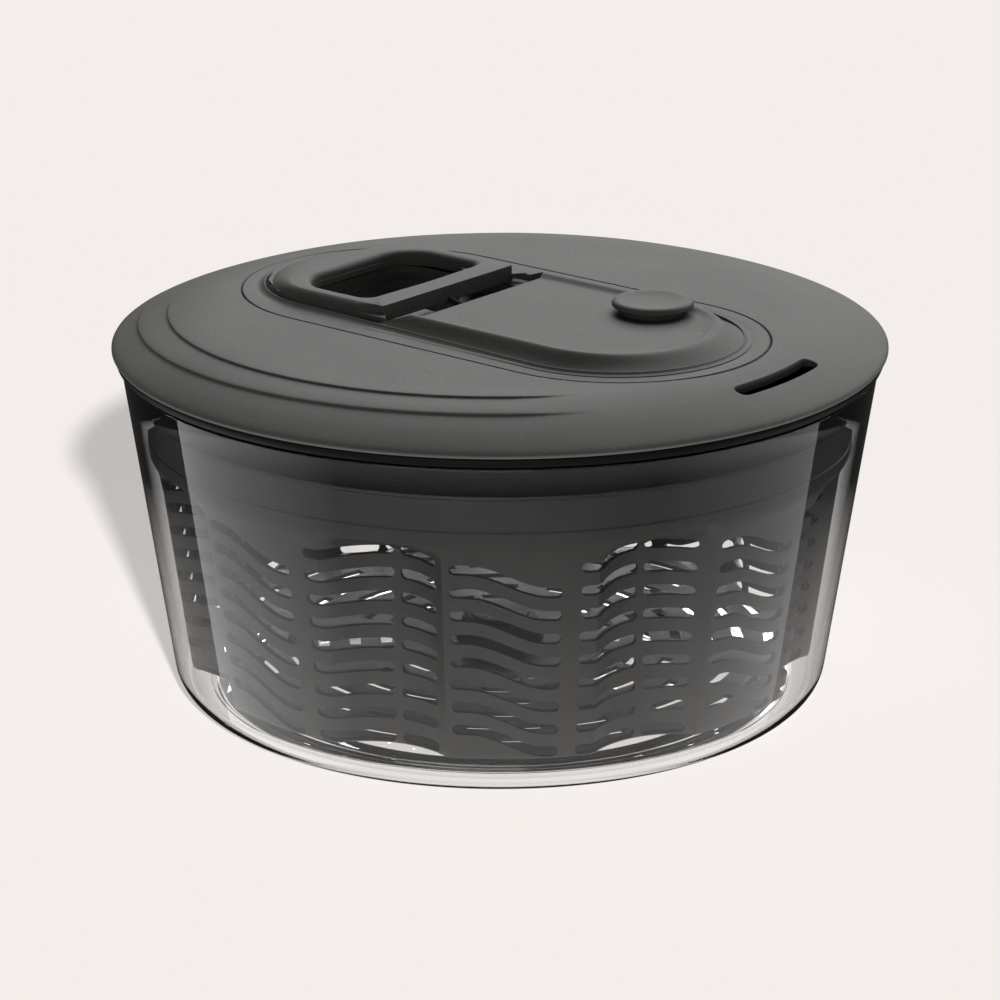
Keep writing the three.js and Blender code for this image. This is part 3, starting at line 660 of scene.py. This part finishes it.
def basket_r(z, phi):
    """Outer radius of the basket's wall at height z, phi degrees from the middle of a bay."""
    if z < WALL_TOP:
        plain = WALL_R - (WALL_TOP - z) * WALL_TAPER
    else:
        plain = WALL_R + BAND_OUT * float(smooth(z, 80, 91))
    phi = (phi + LOBE / 2) % LOBE - LOBE / 2
    if abs(phi) > BAY_HALF:
        return plain
    around = (1 - (phi / BAY_HALF) ** 2) ** 0.8
    low, high = BAY_DEPTHS
    depth = low + (high - low) * min(max((z - BAY_LOW) / (WALL_TOP - BAY_LOW), 0), 1)
    return plain - depth * around * float(1 - smooth(z, 80, 90))


def row_centre(row, phi):
    """Middle height of a row of slots. The slanted group's slots drop one pitch from left to right."""
    z = TOP_ROW - ROW_PITCH * row
    start, stop = GROUPS[SLANTED]
    if phi > start:
        drop = float(smooth(phi, 14, 27))
        if phi > stop:
            drop *= 1 - float(smooth(phi, stop, GROUPS[0][0] + LOBE))
        z -= (ROW_PITCH if row < ROWS - 1 else 2.05) * drop
    return z


def basket():
    lobe = basket_columns()
    columns = [(BAY_AT + k * LOBE + phi, phi, g, o) for k in range(LOBES) for phi, g, o in lobe]
    above = [BASKET_TOP, BASKET_TOP - 0.7, BASKET_TOP - 1.6, 100]
    above += [95.0, 94.7, 94.3, 94.0, 91, 89, 87, 85.4, 83.8]
    flare = {0: 0.9, 1: 1.1, 2: 0.0, 5: -0.35, 6: -0.35}
    lines = []
    for i, z in enumerate(above):
        lines.append([(basket_r(z, phi) + flare.get(i, 0.0), z) for _, phi, _, _ in columns])
    for row in range(ROWS):
        upper, lower = [], []
        for _, phi, group, openness in columns:
            half = SLOT_HALF * openness
            if row == ROWS - 1 and phi > GROUPS[SLANTED][0]:
                closed = float(smooth(phi, 12, 20)) * float(1 - smooth(phi, 29, 31.9))
                half = SLOT_HALF * 0.7 * (1 - 0.93 * closed)
            middle = row_centre(row, phi)
            upper.append((basket_r(middle + half, phi), middle + half))
            lower.append((basket_r(middle - half, phi), middle - half))
        lines += [upper, lower]
    lines.append([(basket_r(12.4, phi) - 0.3, 12.4) for _, phi, _, _ in columns])
    lines.append([(basket_r(12.0, phi) - 1.5, BASKET_FOOT) for _, phi, _, _ in columns])
    for r in BASKET_FLOOR_R:
        inset = 3 + 0.02 * (BASKET_FLOOR_R[0] - r)
        lines.append([(min(r, basket_r(12, phi) - inset), BASKET_FOOT) for _, phi, _, _ in columns])
    boss = ((14.4, 0.4), (11.6, 9), (10, 11))
    lines += [[(r, BASKET_FOOT + rise)] * len(columns) for r, rise in boss]
    turn = np.radians([c[0] for c in columns])
    rz = np.array(lines)
    verts = np.stack([rz[..., 0] * np.cos(turn), rz[..., 0] * np.sin(turn), rz[..., 1]], axis=-1)
    first_slot = len(above)
    first_floor = first_slot + 2 * ROWS + 2
    count = len(columns)

    def is_hole(line, column):
        here, there = columns[column], columns[(column + 1) % count]
        if here[2] is None or here[2] != there[2]:
            return False
        row, within = divmod(line - first_slot, 2)
        if 0 <= row < ROWS and within == 0:
            return not (row == ROWS - 1 and here[2] == SLANTED)
        ring = line - first_floor
        slot_ring = 2 <= ring < len(BASKET_FLOOR_R) - 2 and ring % 2 == 0
        return slot_ring and here[2] != 1 and here[3] + there[3] > 1.9

    faces = [f[::-1] for f in strip_faces(len(lines), count, skip=is_hole)]
    centre = len(lines) * count
    verts = np.vstack([verts.reshape(-1, 3), [0, 0, BASKET_FOOT + 11.4]])
    last = (len(lines) - 1) * count
    faces += [(centre, last + (j + 1) % count, last + j)[::-1] for j in range(count)]
    piece = make_mesh("slotted_basket", verts, faces, BASKET_GREY, "basket", 40)
    skin = piece.modifiers.new("wall", "SOLIDIFY")
    skin.thickness = BASKET_WALL * MM
    skin.offset = -1
    skin.use_even_offset = False
    apply_modifiers(piece, 35)
    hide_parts("basket")
    return piece


# ---- lid ----
def oblong_r(turn, half, radius):
    """Distance from the origin to an oblong's edge, by angle."""
    c, s = np.abs(np.cos(turn)), np.abs(np.sin(turn))
    side = radius / np.maximum(s, 1e-9)
    end = half * c + np.sqrt(np.maximum(radius ** 2 - (half * s) ** 2, 0))
    return np.where(side * c <= half, side, end)


def circle_r(turn, centre, radius):
    """Distance from the origin to an off-centre circle, by angle."""
    along = centre[0] * np.cos(turn) + centre[1] * np.sin(turn)
    return along + np.sqrt(radius ** 2 - centre[0] ** 2 - centre[1] ** 2 + along ** 2)


def window(turn_deg, middle, full, fade):
    away = np.abs((np.asarray(turn_deg) - middle + 180) % 360 - 180)
    return 1 - smooth(away, full, full + fade)


SLOT_MID_R = 114.75
SLOT_AT = 2.0
SLOT_LONG = 22.0
SLOT_WIDE = 2.75
STEM_HOLE_R = 4.9
INNER_STEP = ((-9.8, 10.5), 113.8)
OUTER_STEP = ((-7.9, 9.4), 124.6)
STEP_AT = 266.0
DOME_FROM = 98
DOME_DROP = 0.01668
DOME_POWER = 1.752
STEP_DEPTH = 0.38


def dome(r):
    """Height of the lid's top face at radius r, without its steps."""
    return LID_TOP - DOME_DROP * np.maximum(r - DOME_FROM, 0) ** DOME_POWER


def lid_shell():
    turn_deg = np.arange(COLUMNS) * 360.0 / COLUMNS
    turn = np.radians(turn_deg)
    near = window(turn_deg, STEP_AT, 62, 20)
    far = window(turn_deg, STEP_AT - 180, 48, 14)

    def step_line(step, at_slot):
        (cx, cy), radius = step
        line = near * circle_r(turn, (cx, cy), radius) + far * circle_r(turn, (-cx, -cy), radius)
        return line + (1 - near - far) * at_slot

    inner = step_line(INNER_STEP, 112.0)
    outer = step_line(OUTER_STEP, 117.5)
    strength = window(turn_deg, STEP_AT, 44, 16) + 0.55 * window(turn_deg, STEP_AT - 172, 26, 26)

    def top(r):
        z = dome(r)
        for line in (inner, outer):
            away = r - line
            z = z - STEP_DEPTH * strength * np.tanh((away - 0.05) / 0.18) * np.exp(-((away / 7) ** 2))
        return z

    def ring(r, z=None):
        r = np.broadcast_to(np.asarray(r, dtype=float), turn.shape)
        height = top(r) if z is None else np.full(len(turn), z)
        return np.stack([r * np.cos(turn), r * np.sin(turn), height], axis=1)

    edge = oblong_r(turn, DECK_HALF, DECK_R)
    bevel = oblong_r(turn, DECK_HALF, DECK_R + 0.35)
    beside = [-1.2, -0.5, -0.15, 0.25, 0.7, 1.6]
    rings = [ring(edge, LID_TOP - LID_SKIN), ring(edge, LID_TOP - 0.5), ring(bevel)]
    start = bevel + 0.6
    rings += [ring(start + (inner + beside[0] - start) * t) for t in np.linspace(0, 1, 9)[:-1]]
    slot_first = len(rings)
    rings += [ring(inner + d) for d in beside]
    gap = outer - inner + beside[0] - beside[-1]
    rings += [ring(inner + beside[-1] + gap * t) for t in (0.33, 0.67)]
    rings += [ring(outer + d) for d in beside]
    slot_last = len(rings) - 1
    rings += [ring(outer + 1.6 + (129.6 - outer - 1.6) * t) for t in np.linspace(0, 1, 7)[1:]]
    edge_profile = [(130.9, 124.05), (131.7, 123.62), (132.25, 123.2), (LID_R, 122.75)]
    edge_profile += [(LID_R, 122.3), (132.2, 121.85), (131.6, 121.7), (127.5, 121.7)]
    rings += [ring(r, z) for r, z in edge_profile]
    under_z = [(120.5, 125.9), (109.4, 128.4)]
    between = slot_last - slot_first
    rings.append(ring(124.0, 124.2))
    under_first = len(rings)
    for i in range(between + 1):
        t = i / between
        rings.append(ring(under_z[0][0] + (under_z[1][0] - under_z[0][0]) * t,
                          under_z[0][1] + (under_z[1][1] - under_z[0][1]) * t))
    rings.append(ring(103.5, LID_TOP - LID_SKIN))
    rings = np.array(rings)

    spread = 14
    middle = int(round(SLOT_AT / 360 * COLUMNS))
    first, last = middle - 2 * spread, middle + 2 * spread

    def in_patch(i, j):
        j = j if j < COLUMNS // 2 else j - COLUMNS
        if not first <= j < last:
            return False
        return slot_first <= i < slot_last or under_first <= i < under_first + between

    faces = strip_faces(len(rings), COLUMNS, wrap_rings=True, skip=in_patch)
    verts = [rings.reshape(-1, 3)]
    total = len(rings) * COLUMNS

    def border(inner_ring, outer_ring):
        loop = [(inner_ring, j) for j in range(first, last)]
        step = 1 if outer_ring > inner_ring else -1
        loop += [(i, last) for i in range(inner_ring, outer_ring, step)]
        loop += [(outer_ring, j) for j in range(last, first, -1)]
        loop += [(i, first) for i in range(outer_ring, inner_ring, -step)]
        return [i * COLUMNS + j % COLUMNS for i, j in loop]

    def local(points):
        angle = np.degrees(np.arctan2(points[:, 1], points[:, 0])) - SLOT_AT
        away = np.hypot(points[:, 0], points[:, 1]) - SLOT_MID_R
        return np.stack([np.radians(angle) * SLOT_MID_R, away], axis=1)

    def outline(flat, grow):
        end = SLOT_LONG - SLOT_WIDE
        centre = np.stack([np.clip(flat[:, 0], -end, end), np.zeros(len(flat))], axis=1)
        away = flat - centre
        away /= np.linalg.norm(away, axis=1, keepdims=True)
        return centre + away * (SLOT_WIDE + grow)

    def placed(flat, drop, z=None):
        angle = np.radians(SLOT_AT) + flat[:, 0] / SLOT_MID_R
        r = SLOT_MID_R + flat[:, 1]
        high = dome(r) if z is None else z
        height = np.broadcast_to(high + drop, r.shape)
        return np.column_stack([r * np.cos(angle), r * np.sin(angle), height])

    top_border = border(slot_first, slot_last)
    under_border = border(under_first + between, under_first)
    flat = local(verts[0][top_border])
    inner_side = np.clip(-outline(flat, 0)[:, 1] / SLOT_WIDE, 0, 1)
    loops = [
        placed(outline(flat, 1.5), 0.0),
        placed(outline(flat, 1.1), 0.16 * inner_side),
        placed(outline(flat, 0.7), 0.22 * inner_side),
        placed(outline(flat, 0.25), 0.1 * inner_side - 0.05),
        placed(outline(flat, 0.02), -0.4 - 0.2 * inner_side),
        placed(outline(flat, 0.0), -1.2),
        placed(outline(local(verts[0][under_border]), 0.0), 0.0, 127.2),
    ]
    chain = [top_border]
    for loop in loops:
        chain.append(list(range(total, total + len(loop))))
        verts.append(loop)
        total += len(loop)
    chain.append(under_border)
    for a, b in zip(chain, chain[1:]):
        count = len(a)
        faces += [(a[k], a[(k + 1) % count], b[(k + 1) % count], b[k]) for k in range(count)]
    piece = face_out(make_mesh("lid_dome", np.vstack(verts), faces, LID_GREY, "lid", 28))
    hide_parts("lid_shell")
    return piece


def inner_cover():
    low = 107.3
    profile = [
        # hub plate, then the web's underside
        (7.8, COVER_LOW), (36.6, COVER_LOW), (37.5, COVER_LOW + 0.9),
        (37.5, 112.4), (38.1, 113), (121.6, 113),
        # skirt
        (122.5, 112.2), (122.9, low + 0.6), (123.3, low), (124.3, low), (124.75, low + 0.5),
        (125.3, 111.0), (125.3, 111.6), (125.75, 112.0), (126.1, 118.0),
        # lip
        (126.6, 118.45), (130.5, 118.45), (131.1, 118.8), (131.3, 119.4),
        (131.3, 120.6), (131.0, 121.15), (130.4, 121.35), (122.9, 121.35),
        # back over the web to the hub
        (122.4, 120.9), (122.4, 115.6), (121.8, 115), (36.2, 115), (35.5, 114.4),
        (35.5, COVER_LOW + 2.6), (34.9, COVER_LOW + 2), (7.8, COVER_LOW + 2),
    ]
    piece = lathe("lid_lip_and_skirt", profile, BLACK, "lid", 288)
    stem = [(0, 109), (STEM_HOLE_R, 109), (STEM_HOLE_R, 118), (0, 118)]
    cut(piece, lathe("stem_cutter", stem, BLACK, None, 48, centre=BUTTON_AT[:2]), 32)
    end = SLOT_LONG - SLOT_WIDE
    drain = np.array(pill(-end, SLOT_WIDE, end, SLOT_WIDE))
    angle = np.radians(SLOT_AT) + drain[:, 0] / SLOT_MID_R
    away = SLOT_MID_R + drain[:, 1]
    drain = np.column_stack([away * np.cos(angle), away * np.sin(angle)])
    drain = [at_height(drain, z) for z in (108, 118)]
    cut(piece, face_out(loft("drain_cutter", drain, BLACK, None, cap_start=True, cap_end=True)), 32)
    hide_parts("lid_inner_cover")
    return piece


# ---- deck: plate, drive housing and finger well ----
PLATE_CENTRE = (-39.2, 0.0)
PLATE_FOOT = [  # radius and rise of the groove and lip round the handle and the housing
    (43.6, 0), (42.9, -0.05), (42.0, -0.22), (41.2, -0.18),
    (40.4, 0.1), (39.7, 0.55), (39.25, 0.95), (38.95, 1.0), (38.75, 0.85),
]


def deck_plate():
    def edge(inset):
        return by_angle(pill(-DECK_HALF, DECK_R - inset, DECK_HALF, DECK_R - inset), PLATE_CENTRE)

    def round_foot(r):
        return by_angle(pill(-56.5, r, DECK_HALF, r + 4), PLATE_CENTRE)

    well = by_angle(rounded_rect(WELL_X0, HOUSING_X - 1, WELL_HALF_Y, 11), PLATE_CENTRE)
    shelf = LID_TOP - 0.9
    rings = [
        at_height(edge(0.32), LID_TOP - LID_SKIN),
        at_height(edge(0.32), LID_TOP - 0.5),
        at_height(edge(0.65), LID_TOP),
        at_height(edge(1.4), LID_TOP),
    ]
    rings += [at_height(round_foot(r), LID_TOP + rise) for r, rise in PLATE_FOOT]
    rings += [
        at_height(round_foot(38.7), shelf),
        at_height(well, shelf), at_height(well, LID_TOP - LID_SKIN - 1.2),
    ]
    rings = np.array(rings)
    piece = face_out(loft("deck_plate", rings, LID_GREY, "lid", wrap_rings=True, sharp=30))
    return piece


def finger_well():
    centre = (-53.0, 0.0)

    def trench(grow, corner=5.0):
        x0, x1 = WELL_X0 - grow, HOUSING_X - 1 + grow
        return by_angle(rounded_rect(x0, x1, WELL_HALF_Y + grow, corner + grow), centre)

    def deep(grow):
        x0, x1 = WELL_X0 + 0.3 - grow, WELL_STEP_X + grow
        return by_angle(rounded_rect(x0, x1, WELL_HALF_Y - 0.3 + grow, 11), centre)

    rings = [
        at_height(trench(0.05, 11), LID_TOP - 0.9),
        at_height(trench(0), TRENCH_FLOOR + 1),
        at_height(trench(-0.8), TRENCH_FLOOR),
        at_height(deep(0.9), TRENCH_FLOOR),
        at_height(deep(0.2), TRENCH_FLOOR - 0.6),
        at_height(deep(-0.2), WELL_FLOOR + 3),
        at_height(deep(-1.2), WELL_FLOOR + 0.8),
        at_height(deep(-3.4), WELL_FLOOR),
    ]
    outside = [
        at_height(deep(-2.5), WELL_FLOOR - 1.6),
        at_height(deep(1.4), WELL_FLOOR - 0.2),
        at_height(deep(1.5), TRENCH_FLOOR - 1.6),
        at_height(trench(1.6), TRENCH_FLOOR - 1.6),
        at_height(trench(1.6), LID_TOP - 0.9),
    ]
    inner_count = len(rings)
    rings = np.array(rings + outside)
    columns = rings.shape[1]
    faces = strip_faces(inner_count, columns)
    faces += [tuple(v + inner_count * columns for v in f) for f in strip_faces(len(outside), columns)]
    faces.append(tuple((inner_count - 1) * columns + j for j in range(columns)))
    faces.append(tuple(inner_count * columns + j for j in range(columns)))
    last = (len(rings) - 1) * columns
    faces += [(j, (j + 1) % columns, last + (j + 1) % columns, last + j) for j in range(columns)]
    piece = face_out(make_mesh("finger_well", rings.reshape(-1, 3), faces, LID_GREY, "lid", 30))
    return piece


def drive_housing():
    """The raised housing: rows of half-oblong paths whose open ends make the face over the trench."""
    rows = [  # half width and height, from the foot's lip up over the crest to the dish
        (45.6, -0.02), (45.1, 0.12), (44.5, 0.2), (43.9, 0.12), (43.2, -0.1), (42.4, -0.12),
        (41.6, 0.05), (40.6, 0.5), (39.5, 1.2), (38.4, 2.1), (37.4, 3.1), (36.5, 4.0),
        (35.8, 4.55), (35.2, 4.78), (34.7, 4.8), (34.2, 4.72), (33.6, 4.5), (32.9, 4.15),
        (32.1, 3.82), (31.2, 3.64), (30.2, 3.6), (24, 3.6), (12, 3.6), (0.01, 3.6),
    ]
    straight = np.linspace(0, 1, 60)[:-1]
    bend = np.radians(np.linspace(90, -90, 97))

    def end_x(width, high):
        lean = (HOUSING_TOP - LID_TOP - high) / (HOUSING_TOP - LID_TOP)
        side = float(smooth(width, 31.5, 39))
        return HOUSING_X - 3.2 * side - 10.5 * side * min(max(lean, 0), 1)

    rings = []
    for width, rise in rows:
        x0 = end_x(width, rise)
        upper = [(x0 + (DECK_HALF - x0) * t, width) for t in straight]
        curve = [(DECK_HALF + width * math.cos(a), width * math.sin(a)) for a in bend]
        lower = [(x0 + (DECK_HALF - x0) * t, -width) for t in straight[::-1]]
        path = np.array(upper + curve + lower)
        round_end = 4.45 * (1 - smooth(width, 32.8, 46.4))
        blend = smooth(path[:, 0], 56, 92)
        rings.append(at_height(path, LID_TOP + rise + (round_end - rise) * blend * (width > 31.0)))
    rings = np.array(rings)
    count, columns = rings.shape[:2]
    verts = rings.reshape(-1, 3)
    faces = [f[::-1] for f in strip_faces(count, columns, wrap_columns=False)]
    # The trench face hangs from the rows' open ends.
    low_z = TRENCH_FLOOR - 0.5
    left = [verts[i * columns] for i in range(count)]
    right = [verts[(i + 1) * columns - 1] for i in range(count)][::-1]
    rim = left + right
    index = [i * columns for i in range(count)] + [(i + 1) * columns - 1 for i in range(count)][::-1]
    hung = []
    for depth, back in ((0.35, 0.25), (1.0, 0.55), (1.3, 0.35), (None, 0.6)):
        ring = []
        for p in rim:
            z = low_z if depth is None else max(p[2] - depth, low_z)
            ring.append((p[0] - 0.25 + back * 0.6, p[1], min(z, p[2] - 0.02)))
        hung.append(ring)
    total = len(verts)
    previous = index
    stack = [verts]
    for ring in hung:
        here = list(range(total, total + len(ring)))
        stack.append(np.array(ring))
        faces += [(previous[k], previous[k + 1], here[k + 1], here[k]) for k in range(len(here) - 1)]
        previous = here
        total += len(ring)
    piece = make_mesh("drive_housing", np.vstack(stack), faces, LID_GREY, "lid", 30)
    return piece


# ---- pull handle ----
HANDLE_CENTRE = (-50.0, 0.0)
HANDLE_SLOPE = [  # how far in and how far up the outer side goes, as parts of the whole
    (0.0, 0.0), (0.04, 0.12), (0.12, 0.34), (0.25, 0.56), (0.42, 0.75),
    (0.6, 0.88), (0.8, 0.965), (0.93, 0.995), (1.0, 1.0),
]


def handle_outline(r, right, corner_x):
    """The handle's plan: a round left end and a straight bar, with the corners of the bar cut back."""
    return by_angle(
        arc((-56.5, 0), r, 90, 270, 60)
        + [(corner_x, -r), (right, -r + 4.0), (right, r - 4.0), (corner_x, r)],
        HANDLE_CENTRE)


def handle():
    foot = handle_outline(38.3, -22.5, -33.0)
    shoulder = handle_outline(38.1, -22.5, -32.0)
    crest = by_angle(
        [(-22.9, -34.2), (-22.9, 34.2), (-27.4, 34.6), (-50, 34.6)]
        + arc((-58.5, 19.6), 15, 90, 180, 12)
        + arc((-58.5, -19.6), 15, 180, 270, 12)
        + [(-50, -34.6), (-27.4, -34.6)],
        HANDLE_CENTRE)
    hole = by_angle(
        arc((-38.6, 24.5), 5, 0, 90, 10) + arc((-54.0, 15.5), 14, 90, 180, 10)
        + arc((-54.0, -15.5), 14, 180, 270, 10) + arc((-38.6, -24.5), 5, 270, 360, 10),
        HANDLE_CENTRE)

    def mixed(a, b, t):
        return a + (b - a) * t

    def grown(outline, amount):
        middle = np.array(HANDLE_CENTRE)
        away = outline - middle
        return middle + away * (1 + amount / np.linalg.norm(away, axis=1, keepdims=True))

    low, high = LID_TOP + 0.4, HANDLE_TOP
    rings = [
        at_height(mixed(foot, hole, 0.1), low - 0.9),
        at_height(grown(foot, -0.35), low - 0.9),
        at_height(foot, low - 0.5),
    ]
    rise = high - low
    for t, f in HANDLE_SLOPE:
        rings.append(at_height(mixed(shoulder, crest, t), low + rise * f))
    lip = ((3.2, 0.0), (2.4, 0.06), (1.6, 0.24), (0.9, 0.6), (0.4, 1.1), (0.1, 1.7), (0.0, 2.4))
    rings += [at_height(grown(hole, out), high - drop) for out, drop in lip]
    rings += [at_height(grown(hole, 0.15), low + 1.0), at_height(grown(hole, 0.4), low - 0.5),
              at_height(grown(hole, 1.0), low - 0.9)]
    piece = face_out(loft("pull_handle", np.array(rings), LID_GREY, "handle", wrap_rings=True, sharp=28))
    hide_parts("handle_top")
    return piece


# ---- brake button ----
SPRING_R = 8.0
SPRING_WIRE = 0.45
SPRING_TURNS = 4
SPRING_LOW = 124.5
SPRING_HIGH = 130.4


def button():
    r, top = BUTTON_R, BUTTON_TOP
    profile = [
        # shaft and neck
        (0, 114.2), (4, 114.2), (4, 130.6), (5, 131), (11.3, 131), (11.5, 131.3),
        (11.5, top - 2.5), (11.8, top - 2.2),
        # cap's edge
        (r - 0.8, top - 2.2), (r - 0.3, top - 2.1), (r, top - 1.8), (r, top - 1.1),
        (r - 0.35, top - 0.5), (r - 0.95, top - 0.15), (r - 1.8, top),
        # dished top
        (r - 2.9, top - 0.06), (r - 4.4, top - 0.4), (r - 6.5, top - 0.75), (r - 9.5, top - 0.95),
        (0, top - 1.0),
    ]
    piece = lathe("brake_button_cap", profile, LID_GREY, "button", 128, centre=BUTTON_AT[:2])
    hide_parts("brake_button")
    return piece


def coil_spring():
    """The brake button's return spring. It is a fixed coil on the lid, so it does not shorten as the button
    goes down.
    """
    angle = np.linspace(0, SPRING_TURNS * 2 * math.pi, SPRING_TURNS * 24 + 1)
    high = np.linspace(SPRING_LOW, SPRING_HIGH, len(angle))
    x = BUTTON_AT[0] + SPRING_R * np.cos(angle)
    y = BUTTON_AT[1] + SPRING_R * np.sin(angle)
    path = np.column_stack([x, y, high])
    piece = sweep("button_coil", path, SPRING_WIRE, STEEL, "lid", 8)
    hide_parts("button_spring")
    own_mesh(piece)
    return piece


# ---- pull cord ----
def pull_cord():
    """The cord between the housing and the handle, drawn straight from one end of the CAD cord's box to the
    other.
    """
    low, high = [np.array(c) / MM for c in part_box("pull_cord")]
    radius = (high[1] - low[1]) / 2
    near = np.array([high[0], 0.0, low[2] + radius])
    far = np.array([low[0], 0.0, high[2] - radius])
    steps = np.linspace(0, 1, 40)[:, None]
    piece = sweep("braided_pull_cord", near + (far - near) * steps, radius, CORD, None, 16)
    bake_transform(piece)
    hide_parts("pull_cord")
    return piece


# ---- finishes of the CAD pieces that stay ----
def paint_frame():
    finishes = {
        STEEL: ["spindle", "spring_arbor", "recoil_spring", "roller_pin", "cord_eyelet", "cord_anchor",
                "cover_screw_1", "cover_screw_2", "cover_screw_3", "cover_screw_4",
                "handle_screw_1", "handle_screw_2"],
        NATURAL: ["hub_bush", "cord_reel", "reel_spring_cover", "drive_hub", "guide_roller"],
        DARK: ["reel_housing", "clutch_ring", "drive_disc", "hub_nut"],
        LID_GREY: ["handle_base"],
        CORD: ["cord_run", "cord_winding"],
        RUBBER_AND_FOOT_SHADE: ["brake_pad"],
    }
    for material, names in finishes.items():
        for name in names:
            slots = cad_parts[name].data.materials
            slots.clear()
            slots.append(material)


camera()
lamps = studio()
clear_bowl = bowl()
foot_shade_ring()
for lamp in lamps:
    shine_through(lamp, clear_bowl)
basket()
lid_shell()
inner_cover()
plate = deck_plate()
finger_well()
drive_housing()
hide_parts("deck_cover")
handle()
button()
coil_spring()
pull_cord()
paint_frame()
